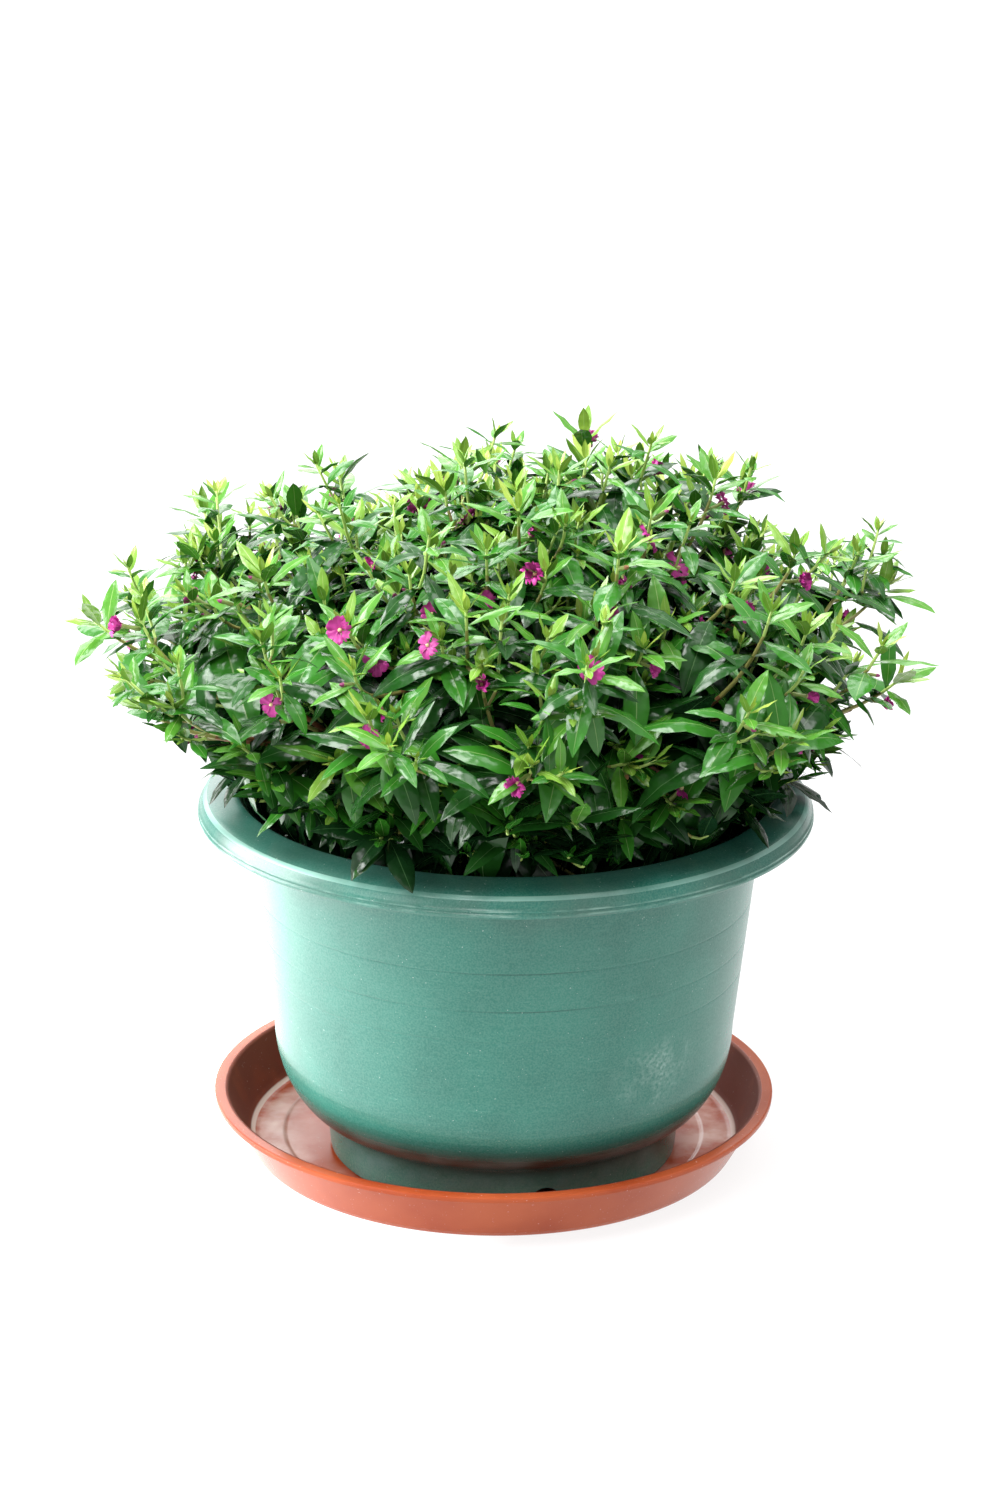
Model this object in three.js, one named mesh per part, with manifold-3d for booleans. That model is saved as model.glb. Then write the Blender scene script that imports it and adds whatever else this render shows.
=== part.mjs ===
// Potted mexican heather: a leafy shrub with small flowers, in a rimmed plastic pot that stands on a saucer.
// Millimetres, +Z up. The origin is the centre of the saucer's flat underside, and -Y faces the viewer.
import * as THREE from 'three';
import { mergeVertices } from 'three/addons/utils/BufferGeometryUtils.js';
import Module from 'manifold-3d';

const wasm = await Module();
wasm.setup();

// Clearances
const GAP = 0.3;
const CELL_MARGIN = 0.4;
const LIMB_MARGIN = 0.7;
const POT_MARGIN = 1.2;

// Vertices closer than this are one
const FINE_WELD = 1e-5;
const WELD = 1e-3;

// Turned pieces
const TURN_SIDES = 32;

// Saucer
const SAUCER_BASE_RADIUS = 79.3;
const SAUCER_CORNER_RADIUS = 81.2;
const SAUCER_RIM_RADIUS = 93.2;
const SAUCER_RIM_WIDTH = 4.6;
const SAUCER_HEIGHT = 19.5;
const SAUCER_FLOOR = 3.0;
const SAUCER_WALL = 2.2;
const SAUCER_LIP_DEPTH = 2.4;
const SAUCER_EDGE = 0.7;
const SAUCER_CORNER = 1.4;

// Pot, standing a little off the saucer's middle
const POT_X = 3.2;
const POT_Y = -9.4;
const POT_FOOT = SAUCER_FLOOR + GAP;
const POT_FOOT_RADIUS = 57.2;
const POT_CREASE_RADIUS = 58.6;
const POT_CREASE_HEIGHT = 17.6;
const POT_BOWL_RADIUS = 75.6;
const POT_BOWL_HEIGHT = 48;
const POT_NECK_RADIUS = 83.4;
const POT_NECK_HEIGHT = 118.6;
const POT_LIP_RADIUS = 100;
const POT_LIP_HEIGHT = 120.3;
const POT_CREST_RADIUS = 97.1;
const POT_CREST_HEIGHT = 125.9;
const POT_RIM_RADIUS = 87.2;
const POT_RIM_HEIGHT = 128.6;
const POT_WALL = 2.2;
const POT_EDGE = 0.6;
const POT_FLOOR_DIP = 0.4;
// From the neck out under the lip, over its two beads and up its face: steps out and up from its edge
const POT_LIP_STEPS = [
  [-13.4, 2.9], [-3.6, 1], [-2, -1.2], [-0.6, -1.2], [0, 0], [-0.6, 0.7], [-0.1, 1.4], [-0.8, 2.1], [-1.9, 4.8],
];
const BOWL_STEPS = 4;
const BOWL_CORNER = 1.25;
const CREASE_STEP = 1;
const FLOOR_CORNER = 4;

// Drain notches through the pot's foot
const NOTCH_COUNT = 3;
const NOTCH_WIDTH = 12;
const NOTCH_HEIGHT = 7.5;
const NOTCH_HEADING = -76;
const NOTCH_ARC_SIDES = 8;
const NOTCH_SPRING = 0.35;
const NOTCH_START = 0.8;
const NOTCH_DEPTH = 0.4;

// Soil
const SOIL_HEIGHT = 111;
const SOIL_MOUND = 3;
// The soil's top from its edge inward: share of its radius, and height off the level in shares of the mound
const SOIL_LINE = [[1, 0], [0.93, 0.33], [0.6, -0.13], [0.3, 0.6]];

// Short woody stem at the shrub's foot
const STEM_RADIUS = 8.2;
const STEM_TOP_RADIUS = 6.8;
const STEM_HEIGHT = 24;
const STEM_SIDES = 12;

// Boughs: one to each mass, in three tiers that leave the stem one above the other
const BOUGH_RADIUS = 2.6;
const BOUGH_TIP_RADIUS = 1.7;
const BOUGH_LEAST_SHARE = 0.38;
const BOUGH_MOST_SHARE = 0.9;
const BOUGH_SHARE_STEP = 0.02;
const BOUGH_START_SLACK = 0.4;
const BOUGH_END_SLACK = 0.35;
const BOUGH_RISE = 0.25;
const BOUGH_TEST_POINTS = 40;
const SPINE_REACH = 0.65;
const SPINE_SLACK = 0.3;
const BOUGH_SIDES = 5;
const BOUGH_STEPS = 5;
const TIERS = [
  { name: 'low', count: 7, heading: 12, radius: 86, height: 162, start: 8, slope: 24 },
  { name: 'high', count: 5, heading: 38, radius: 60, height: 191, start: 16.5, slope: 52 },
  { name: 'top', count: 1, heading: 30, radius: 10, height: 212, start: STEM_HEIGHT, slope: 90 },
];

// Crown: where the shoots' tips end
const CROWN_MIDDLE = 172;
const CROWN_HALF_WIDTH = 121;
const CROWN_HALF_DEPTH = 114;
const CROWN_RISE = 40;
const CROWN_FALL = 44;
const CROWN_SQUARENESS = 2.9;
const CROWN_PEAK = 17;
const CROWN_PEAK_X = 31;
const CROWN_PEAK_WIDTH = 50;
const CROWN_PEAK_SQUARENESS = 4;
const CROWN_LOWEST = -0.48;
const CROWN_SPREAD = 0.52;
const CROWN_UNEVENNESS = 0.13;

// The crown's underside: its height over the lip's edge, and how steeply it rises outside and inside that
const SKIRT_HEIGHT = 143;
const SKIRT_RISE = 0.75;
const SKIRT_INNER_RISE = 1;

// A few long, nearly level shoots that reach out past the rest at the crown's widest height
const LONG_COUNT = 11;
const LONG_HEADING = 172;
const LONG_HEADING_SPREAD = 0.6;
const LONG_SLOPE = 12;
const LONG_REACH = 129;
const LONG_REACH_SPREAD = 10;
const LONG_HEIGHT = 175;
const LONG_HEIGHT_SPREAD = 26;

// Shoots, leaves and blossoms
const SHOOT_COUNT = 46;
const INNER_SHOOT_COUNT = 20;
const INNER_REACH = 0.62;
const INNER_LOWEST = -0.98;
const SHOOT_RADIUS = 1.5;
const SHOOT_TIP_RADIUS = 0.9;
const SHOOT_SIDES = 3;
const NODE_LENGTH = 2.4;
const SHOOT_FIRST = 0.06;
const SHOOT_LAST = 0.96;
const SHOOT_SPINE_SHARE = 0.25;
const SHOOT_OUTWARD = 0.75;
const SHOOT_UPWARD = 0.6;
const SHOOT_BENDS = [0.34, 0.17, 0];
const SHOOT_PULLS = [1, 0.93, 0.86, 0.78];
const SHOOT_TEST_POINTS = 12;
const SHOOT_STEPS = 3;
const SPINE_SIDES = 4;
const SPINE_STEPS = 3;
const LEAF_LENGTH = 42;
const LEAF_WIDTH = 14.5;
const LEAF_THICKNESS = 0.03;
const LEAF_ARCH = 0.11;
const LEAF_SIZE_SPREAD = 0.24;
const LEAF_WIDEST = 0.45;
const LEAF_ANGLE_SPREAD = 16;
const LEAF_TURN_KEPT = 0.6;
const LEAF_CLEAR_ROOT = 0.08;
const LEAF_SAMPLE_STEP = 0.14;
// Each pair of leaves: place along the shoot, angle off the shoot, and size
const LEAF_PAIRS = [
  { place: 0.36, angle: 72, size: 1.0 },
  { place: 0.62, angle: 64, size: 1.0 },
  { place: 0.84, angle: 52, size: 0.86 },
  { place: 0.99, angle: 30, size: 0.6 },
];
// Swing round the shoot and size, tried in turn until a leaf has room
const LEAF_TRIES = [
  [0, 1], [25, 1], [-25, 1], [48, 0.95], [-48, 0.95], [0, 0.82],
  [32, 0.8], [-32, 0.8], [0, 0.66], [40, 0.62], [-40, 0.62], [0, 0.5],
];
const BLOSSOM_SHARE = 0.42;
const BLOSSOM_RADIUS = 7.2;
const BLOSSOM_NOTCH = 0.58;
const BLOSSOM_REACH = 9.5;
const BLOSSOM_PETALS = 6;
const BLOSSOM_DISH = 1.2;
const BLOSSOM_PAIR = 2;
const BLOSSOM_OUTWARD = 1.15;
const BLOSSOM_CLEAR_ROOT = 0.3;
const SEED = 4104;
const SEED_STEP = 97;

const NEARLY_PARALLEL = 0.95;
const GOLDEN_ANGLE = Math.PI * (3 - Math.sqrt(5));
const UP = new THREE.Vector3(0, 0, 1);
const POT_CENTRE = new THREE.Vector3(POT_X, POT_Y, 0);
const degrees = THREE.MathUtils.degToRad;

// A seeded run of numbers from 0 to 1
function randomRun(seed) {
  let state = seed >>> 0;
  return () => {
    state = (state + 0x6d2b79f5) >>> 0;
    let value = Math.imul(state ^ (state >>> 15), state | 1);
    value = (value + Math.imul(value ^ (value >>> 7), value | 61)) ^ value;
    return ((value ^ (value >>> 14)) >>> 0) / 4294967296;
  };
}

function material(colour, roughness, name) {
  const made = new THREE.MeshStandardMaterial({ color: colour, roughness, metalness: 0 });
  made.name = name;
  return made;
}

// Keeps only the places of a geometry's vertices, each vertex once
function weld(geometry, distance = FINE_WELD) {
  const bare = geometry.clone();
  for (const attribute of ['normal', 'uv']) {
    bare.deleteAttribute(attribute);
  }
  return mergeVertices(bare, distance);
}

function toSolid(geometry) {
  const welded = weld(geometry);
  const vertProperties = new Float32Array(welded.attributes.position.array);
  const triVerts = new Uint32Array(welded.index.array);
  return new wasm.Manifold(new wasm.Mesh({ numProp: 3, vertProperties, triVerts }));
}

function toGeometry(solid) {
  const mesh = solid.getMesh();
  const geometry = new THREE.BufferGeometry();
  geometry.setAttribute('position', new THREE.BufferAttribute(new Float32Array(mesh.vertProperties), 3));
  geometry.setIndex(new THREE.BufferAttribute(new Uint32Array(mesh.triVerts), 1));
  return geometry;
}

// Joins solids in pairs, then the pairs, and so on
function joinAll(solids) {
  let rest = solids;
  while (rest.length > 1) {
    const joined = [];
    for (let i = 0; i < rest.length; i += 2) {
      joined.push(i + 1 < rest.length ? rest[i].add(rest[i + 1]) : rest[i]);
    }
    rest = joined;
  }
  return rest[0];
}

// The outer skin of the largest piece: loose scraps are dropped and sealed hollows are filled.
// Faces belong to one skin where they share an edge.
function largestSkin(geometry) {
  const welded = weld(geometry, WELD);
  const place = welded.attributes.position;
  const index = welded.index.array;
  const faceCount = index.length / 3;
  const parent = Array.from({ length: faceCount }, (_, i) => i);
  const root = (face) => {
    let at = face;
    while (parent[at] !== at) {
      parent[at] = parent[parent[at]];
      at = parent[at];
    }
    return at;
  };
  const edgeFace = new Map();
  for (let i = 0; i < index.length; i += 1) {
    const face = Math.floor(i / 3);
    const from = index[i];
    const to = index[face * 3 + ((i + 1) % 3)];
    const edge = from < to ? `${from} ${to}` : `${to} ${from}`;
    if (edgeFace.has(edge)) {
      parent[root(face)] = root(edgeFace.get(edge));
    }
    edgeFace.set(edge, face);
  }
  const skins = new Map();
  const corner = [new THREE.Vector3(), new THREE.Vector3(), new THREE.Vector3()];
  for (let face = 0; face < faceCount; face += 1) {
    const key = root(face);
    const skin = skins.get(key) ?? { volume: 0, faces: [] };
    corner.forEach((point, k) => point.fromBufferAttribute(place, index[face * 3 + k]));
    skin.volume += corner[0].dot(corner[1].clone().cross(corner[2])) / 6;
    skin.faces.push(index[face * 3], index[face * 3 + 1], index[face * 3 + 2]);
    skins.set(key, skin);
  }
  const largest = [...skins.values()].reduce((a, b) => (b.volume > a.volume ? b : a));
  welded.setIndex(largest.faces);
  return weld(welded.toNonIndexed(), WELD);
}

// Turns a profile of [radius, height] corners round the Z axis
function turned(profile) {
  const closed = [...profile, profile[0]];
  const points = closed.map(([radius, height]) => new THREE.Vector2(radius, height));
  const geometry = new THREE.LatheGeometry(points, TURN_SIDES);
  geometry.rotateX(Math.PI / 2);
  return geometry;
}

// A point on the bowl's quarter curve, from the crease (0) to the wall (1)
function bowlPoint(share) {
  const turn = (share * Math.PI) / 2;
  const lowRadius = POT_CREASE_RADIUS + CREASE_STEP;
  const lowHeight = POT_CREASE_HEIGHT + CREASE_STEP / 2;
  const radius = lowRadius + (POT_BOWL_RADIUS - lowRadius) * Math.sin(turn) ** BOWL_CORNER;
  const height = lowHeight + (POT_BOWL_HEIGHT - lowHeight) * (1 - Math.cos(turn));
  return [radius, height];
}

function saucerProfile() {
  const innerRim = SAUCER_RIM_RADIUS - SAUCER_RIM_WIDTH;
  return [
    [0, 0],
    [SAUCER_BASE_RADIUS, 0],
    [SAUCER_BASE_RADIUS + SAUCER_CORNER, SAUCER_EDGE],
    [innerRim + SAUCER_WALL / 2, SAUCER_HEIGHT - SAUCER_LIP_DEPTH],
    [SAUCER_RIM_RADIUS - SAUCER_EDGE / 2, SAUCER_HEIGHT - SAUCER_LIP_DEPTH + SAUCER_EDGE / 2],
    [SAUCER_RIM_RADIUS, SAUCER_HEIGHT - SAUCER_EDGE],
    [SAUCER_RIM_RADIUS - SAUCER_EDGE, SAUCER_HEIGHT],
    [innerRim + SAUCER_EDGE, SAUCER_HEIGHT],
    [innerRim, SAUCER_HEIGHT - SAUCER_EDGE],
    [SAUCER_CORNER_RADIUS, SAUCER_FLOOR + SAUCER_CORNER],
    [SAUCER_CORNER_RADIUS - SAUCER_CORNER, SAUCER_FLOOR],
    [0, SAUCER_FLOOR],
  ];
}

// The wall's outer line from the crease up to the neck, low end first
function outerWall() {
  const line = [];
  for (let i = 0; i <= BOWL_STEPS; i += 1) {
    line.push(bowlPoint(i / BOWL_STEPS));
  }
  line.push([POT_NECK_RADIUS, POT_NECK_HEIGHT]);
  return line;
}

// The same line moved in by a distance and up a little, for the pot's inside and the soil's edge
function innerWall(inset) {
  return outerWall().map(([radius, height], i, line) => {
    const low = line[Math.max(i - 1, 0)];
    const high = line[Math.min(i + 1, line.length - 1)];
    const run = Math.hypot(high[0] - low[0], high[1] - low[1]);
    return [radius - (inset * (high[1] - low[1])) / run, height + (inset * (high[0] - low[0])) / run];
  });
}

function potProfile() {
  const floorTop = POT_CREASE_HEIGHT + POT_WALL;
  const inner = innerWall(POT_WALL);
  return [
    [0, POT_CREASE_HEIGHT - POT_FLOOR_DIP],
    [POT_CREASE_RADIUS - POT_WALL - POT_EDGE * 2, POT_CREASE_HEIGHT - POT_FLOOR_DIP],
    [POT_FOOT_RADIUS - POT_WALL - POT_EDGE, POT_FOOT],
    [POT_FOOT_RADIUS - POT_EDGE, POT_FOOT],
    [POT_FOOT_RADIUS, POT_FOOT + POT_EDGE],
    [POT_CREASE_RADIUS, POT_CREASE_HEIGHT],
    ...outerWall(),
    ...POT_LIP_STEPS.map(([out, up]) => [POT_LIP_RADIUS + out, POT_LIP_HEIGHT + up]),
    [POT_CREST_RADIUS, POT_CREST_HEIGHT],
    [POT_RIM_RADIUS + POT_EDGE * 2, POT_RIM_HEIGHT - POT_EDGE / 3],
    [POT_RIM_RADIUS, POT_RIM_HEIGHT],
    [POT_RIM_RADIUS - POT_EDGE * 2, POT_RIM_HEIGHT - POT_EDGE * 2],
    ...inner.slice(1).reverse(),
    [inner[1][0] - FLOOR_CORNER, floorTop],
    [0, floorTop],
  ];
}

function soilProfile() {
  const edge = innerWall(POT_WALL + GAP);
  const base = POT_CREASE_HEIGHT + POT_WALL + GAP;
  const [bowlRadius, bowlHeight] = edge[edge.length - 2];
  const [neckRadius, neckHeight] = edge[edge.length - 1];
  const rise = (SOIL_HEIGHT - bowlHeight) / (neckHeight - bowlHeight);
  const topRadius = bowlRadius + (neckRadius - bowlRadius) * rise;
  return [
    [0, base],
    [edge[1][0] - FLOOR_CORNER - GAP, base],
    ...edge.slice(1, -1),
    ...SOIL_LINE.map(([share, level]) => [topRadius * share, SOIL_HEIGHT + SOIL_MOUND * level]),
    [STEM_RADIUS * 1.5, SOIL_HEIGHT + SOIL_MOUND],
    [0, SOIL_HEIGHT + SOIL_MOUND],
  ];
}

// An arched opening, as a bar that runs outward along +X from the pot's axis
function notchBar() {
  const half = NOTCH_WIDTH / 2;
  const shape = new THREE.Shape();
  const spring = NOTCH_HEIGHT * NOTCH_SPRING;
  shape.moveTo(-half, -spring);
  shape.lineTo(half, -spring);
  shape.lineTo(half, spring);
  shape.absellipse(0, spring, half, NOTCH_HEIGHT - spring, 0, Math.PI, false);
  const bar = new THREE.ExtrudeGeometry(shape, {
    depth: POT_FOOT_RADIUS * NOTCH_DEPTH,
    bevelEnabled: false,
    curveSegments: NOTCH_ARC_SIDES,
  });
  bar.rotateX(Math.PI / 2);
  bar.rotateZ(Math.PI / 2);
  bar.translate(POT_FOOT_RADIUS * NOTCH_START, 0, POT_FOOT);
  return bar;
}

function potGeometry() {
  let pot = toSolid(turned(potProfile()));
  for (let i = 0; i < NOTCH_COUNT; i += 1) {
    const bar = notchBar();
    bar.rotateZ(degrees(NOTCH_HEADING + (360 / NOTCH_COUNT) * i));
    pot = pot.subtract(toSolid(bar));
  }
  return toGeometry(pot);
}

// Places along a curve, each with two ways across it that turn with the curve and don't twist
function framesAlong(curve, shares) {
  const frames = [];
  let side = UP.clone();
  for (const share of shares) {
    const along = curve.getTangent(share);
    if (Math.abs(side.dot(along)) > NEARLY_PARALLEL) {
      side = new THREE.Vector3(1, 0, 0);
    }
    side = side.clone().addScaledVector(along, -side.dot(along)).normalize();
    const other = new THREE.Vector3().crossVectors(along, side);
    frames.push({ share, centre: curve.getPoint(share), along, side, other });
  }
  return frames;
}

function acrossFrame(frame, turn) {
  return frame.side.clone().multiplyScalar(Math.cos(turn)).addScaledVector(frame.other, Math.sin(turn));
}

// A tapering limb: a cylinder whose rings are moved onto a curve
function limbGeometry(curve, startRadius, endRadius, sides, steps) {
  const geometry = new THREE.CylinderGeometry(1, 1, 1, sides, steps);
  const place = geometry.attributes.position;
  const frames = framesAlong(curve, Array.from({ length: steps + 1 }, (_, i) => i / steps));
  const point = new THREE.Vector3();
  for (let i = 0; i < place.count; i += 1) {
    point.fromBufferAttribute(place, i);
    const share = point.y + 0.5;
    const frame = frames[Math.round(share * steps)];
    const radius = startRadius + (endRadius - startRadius) * share;
    const moved = frame.centre.clone();
    moved.addScaledVector(frame.side, point.z * radius).addScaledVector(frame.other, point.x * radius);
    place.setXYZ(i, moved.x, moved.y, moved.z);
  }
  return geometry;
}

// The way out at a heading round the pot's axis and a slope above the level, both in degrees
function headingVector(heading, slope) {
  const turn = degrees(heading);
  const lift = degrees(slope);
  return new THREE.Vector3(Math.cos(turn) * Math.cos(lift), Math.sin(turn) * Math.cos(lift), Math.sin(lift));
}

// A curve that leaves its start one way and comes to its end another
function bendTo(start, startWay, end, endWay, slackStart, slackEnd) {
  const run = start.distanceTo(end);
  return new THREE.CubicBezierCurve3(
    start,
    start.clone().addScaledVector(startWay, run * slackStart),
    end.clone().addScaledVector(endWay, -run * slackEnd),
    end,
  );
}

// Where each mass has its middle, in a frame that stands on the pot's axis
function massSites() {
  const sites = [];
  for (const tier of TIERS) {
    for (let i = 0; i < tier.count; i += 1) {
      const heading = tier.heading + (360 / tier.count) * i;
      const middle = headingVector(heading, 0).multiplyScalar(tier.radius).setZ(tier.height);
      sites.push({ name: `${tier.name}_${i + 1}`, tier, heading, middle });
    }
  }
  return sites;
}

// How far a point is inside the space that is nearer to this site than to any other
function depthInCell(point, site, sites) {
  let depth = Infinity;
  for (const other of sites) {
    if (other !== site) {
      const between = other.middle.clone().sub(site.middle);
      const half = site.middle.clone().addScaledVector(between, 0.5);
      depth = Math.min(depth, half.sub(point).dot(between) / between.length());
    }
  }
  return depth;
}

// Adds each site's bough and the first stretch of stem inside its mass
function growBoughs(sites) {
  const foot = new THREE.Vector3(0, 0, SOIL_HEIGHT + SOIL_MOUND + GAP);
  for (const site of sites) {
    const { tier } = site;
    const way = headingVector(site.heading, tier.slope);
    const atSide = tier.slope < 90;
    const stemRadius = STEM_RADIUS + (STEM_TOP_RADIUS - STEM_RADIUS) * (tier.start / STEM_HEIGHT);
    const out = atSide ? stemRadius + GAP + BOUGH_RADIUS * Math.sin(degrees(tier.slope)) : 0;
    const start = foot.clone().add(headingVector(site.heading, 0).multiplyScalar(out));
    start.z += tier.start + (atSide ? 0 : GAP);
    let share = BOUGH_LEAST_SHARE;
    const entry = start.clone().lerp(site.middle, share);
    while (share < BOUGH_MOST_SHARE && depthInCell(entry, site, sites) < BOUGH_TIP_RADIUS + CELL_MARGIN) {
      share += BOUGH_SHARE_STEP;
      entry.lerpVectors(start, site.middle, share);
    }
    const endWay = site.middle.clone().sub(entry).normalize().addScaledVector(UP, BOUGH_RISE).normalize();
    site.bough = bendTo(start, way, entry, endWay, BOUGH_START_SLACK, BOUGH_END_SLACK);
    const inside = entry.clone().addScaledVector(endWay, GAP);
    const hub = inside.clone().lerp(site.middle, SPINE_REACH);
    site.spine = bendTo(inside, endWay, hub, endWay, SPINE_SLACK, SPINE_SLACK);
  }
}

// The surface where shoots end: a squared ellipsoid that stands taller to one side of its middle.
// The unit vector is stretched to it, and the second result is the way that the surface faces there.
function crownPoint(unit) {
  const round = new THREE.Vector3(Math.abs(unit.x), Math.abs(unit.y), Math.abs(unit.z));
  const total = round.x ** CROWN_SQUARENESS + round.y ** CROWN_SQUARENESS + round.z ** CROWN_SQUARENESS;
  const point = unit.clone().multiplyScalar(total ** (-1 / CROWN_SQUARENESS));
  point.x *= CROWN_HALF_WIDTH;
  point.y *= CROWN_HALF_DEPTH;
  const fromPeak = Math.abs(point.x - CROWN_PEAK_X) / CROWN_PEAK_WIDTH;
  const peak = CROWN_PEAK * Math.exp(-(fromPeak ** CROWN_PEAK_SQUARENESS));
  const height = unit.z > 0 ? CROWN_RISE + peak : CROWN_FALL;
  point.z *= height;
  const way = new THREE.Vector3(unit.x / CROWN_HALF_WIDTH, unit.y / CROWN_HALF_DEPTH, unit.z / height);
  return { point, way: way.normalize() };
}

// The tips of the shoots, spread evenly over the crown or a smaller copy of it, and made a little uneven
function shootTips(count, shellReach, lowest, random) {
  const tips = [];
  for (let i = 0; i < count; i += 1) {
    const even = 1 - ((i + 0.5) / count) * (1 - lowest);
    const level = Math.sign(even) * Math.abs(even) ** CROWN_SPREAD;
    const turn = i * GOLDEN_ANGLE;
    const ring = Math.sqrt(1 - level * level);
    const { point, way } = crownPoint(new THREE.Vector3(Math.cos(turn) * ring, Math.sin(turn) * ring, level));
    const tip = point.multiplyScalar(shellReach * (1 - CROWN_UNEVENNESS * random() * random()));
    tip.z += CROWN_MIDDLE;
    tips.push({ tip, way });
  }
  return tips;
}

// The tips of the long shoots, one in each even share of the round, and the way that each faces
function longTips(random) {
  const tips = [];
  const narrower = CROWN_HALF_DEPTH / CROWN_HALF_WIDTH;
  for (let i = 0; i < LONG_COUNT; i += 1) {
    const heading = LONG_HEADING + (360 / LONG_COUNT) * (i + LONG_HEADING_SPREAD * random());
    const way = headingVector(heading, LONG_SLOPE);
    const reach = LONG_REACH + LONG_REACH_SPREAD * (random() - 0.5);
    const level = LONG_HEIGHT + LONG_HEIGHT_SPREAD * (random() - 0.5);
    tips.push({ tip: new THREE.Vector3(way.x * reach, way.y * reach * narrower, level), way });
  }
  return tips;
}

// True where a point keeps off the soil and the pot, and is over the crown's underside
function inCrown(point) {
  const out = Math.hypot(point.x, point.y);
  if (out < POT_NECK_RADIUS - POT_WALL - POT_MARGIN) {
    return point.z > SOIL_HEIGHT + SOIL_MOUND + POT_MARGIN;
  }
  const past = out - POT_LIP_RADIUS;
  const underside = SKIRT_HEIGHT + past * (past > 0 ? SKIRT_RISE : SKIRT_INNER_RISE);
  return point.z > Math.max(POT_RIM_HEIGHT + POT_MARGIN, underside);
}

// True where a point stands further from every bough than its own radius and a margin
function clearOfLimbs(point, radius, limbs) {
  return limbs.every((limb) => limb.distanceToSquared(point) > (BOUGH_RADIUS + LIMB_MARGIN + radius) ** 2);
}

// True where all points lie in the mass's own space and in the crown, clear of every bough
function fits(points, radius, space) {
  return points.every(
    (point) =>
      depthInCell(point, space.site, space.sites) > CELL_MARGIN + radius &&
      inCrown(point) &&
      clearOfLimbs(point, radius, space.limbs),
  );
}

// A leaf's left and right corners, its tip, and its underside's lowest point at the widest place
function leafCorners(root, way, face, length, width) {
  const side = new THREE.Vector3().crossVectors(face, way).normalize();
  const at = (along, across, lift) =>
    root.clone().addScaledVector(way, along).addScaledVector(side, across).addScaledVector(face, lift);
  const widest = length * LEAF_WIDEST;
  const arch = length * LEAF_ARCH;
  return [
    at(widest, -width / 2, arch),
    at(widest, width / 2, arch),
    at(length, 0, 0),
    at(widest, 0, arch - length * LEAF_THICKNESS),
  ];
}

// True where a stretch of line goes through a triangle
function crosses(from, to, [a, b, c]) {
  const line = to.clone().sub(from);
  const edgeB = b.clone().sub(a);
  const edgeC = c.clone().sub(a);
  const slant = new THREE.Vector3().crossVectors(line, edgeC);
  const scale = edgeB.dot(slant);
  if (scale === 0) {
    return false;
  }
  const offset = from.clone().sub(a);
  const shareB = offset.dot(slant) / scale;
  const turn = new THREE.Vector3().crossVectors(offset, edgeB);
  const shareC = line.dot(turn) / scale;
  const along = edgeC.dot(turn) / scale;
  return shareB >= 0 && shareC >= 0 && shareB + shareC <= 1 && along >= 0 && along <= 1;
}

// A leaf's upper surface, and its edges, from a little way out from its root
function leafSheet(base, [left, right, tip]) {
  const root = base.clone().lerp(tip, LEAF_CLEAR_ROOT);
  return {
    triangles: [[root, left, right], [left, right, tip]],
    lines: [[root, left], [root, right], [left, tip], [right, tip], [left, right]],
  };
}

// True where a leaf's sheet crosses another's, or one of the shoots
function crossesAny(sheet, sheets, shootLines) {
  const through = (lines, triangles) =>
    lines.some(([from, to]) => triangles.some((triangle) => crosses(from, to, triangle)));
  return (
    through(shootLines, sheet.triangles) ||
    sheets.some((other) => through(sheet.lines, other.triangles) || through(other.lines, sheet.triangles))
  );
}

function facesGeometry(corners, faces) {
  const geometry = new THREE.BufferGeometry().setFromPoints(corners);
  geometry.setIndex(faces);
  return geometry;
}

// Points spread over a leaf, to test that it keeps its distance
function leafSamples(root, corners) {
  const [left, right, tip] = corners;
  const middle = left.clone().lerp(right, 0.5);
  const lines = [
    [root, left], [root, middle], [root, right], [left, tip], [middle, tip], [right, tip], [left, right],
  ];
  const samples = [...corners];
  for (const [from, to] of lines) {
    for (let share = LEAF_SAMPLE_STEP; share < 1; share += LEAF_SAMPLE_STEP) {
      samples.push(from.clone().lerp(to, share));
    }
  }
  return samples;
}

// A flower's throat and its notched rim, with the first rim corner on one side
function blossomCorners(root, way, firstCorner) {
  const side = firstCorner.clone().sub(root);
  side.addScaledVector(way, -side.dot(way)).normalize();
  const other = new THREE.Vector3().crossVectors(way, side);
  const corners = [root.clone().addScaledVector(way, BLOSSOM_REACH - BLOSSOM_DISH)];
  for (let i = 0; i < BLOSSOM_PETALS * 2; i += 1) {
    const turn = (i * Math.PI) / BLOSSOM_PETALS;
    const radius = BLOSSOM_RADIUS * (i % 2 ? BLOSSOM_NOTCH : 1);
    const corner = root.clone().addScaledVector(way, BLOSSOM_REACH);
    corner.addScaledVector(side, Math.cos(turn) * radius).addScaledVector(other, Math.sin(turn) * radius);
    corners.push(corner);
  }
  return corners;
}

// The faces that stand on one triangle of the shoot, widen to the flower's rim and close over its throat
function blossomFaces(rootFace, throat) {
  const faces = [];
  const count = BLOSSOM_PETALS * 2;
  const third = count / 3;
  for (let i = 0; i < count; i += 1) {
    const here = throat + 1 + i;
    const next = throat + 1 + ((i + 1) % count);
    const owner = rootFace[Math.floor(((i + third / 2) % count) / third)];
    faces.push(throat, here, next, owner, next, here);
  }
  for (let k = 0; k < 3; k += 1) {
    faces.push(rootFace[k], rootFace[(k + 1) % 3], throat + 1 + k * third + third / 2);
  }
  return faces;
}

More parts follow.
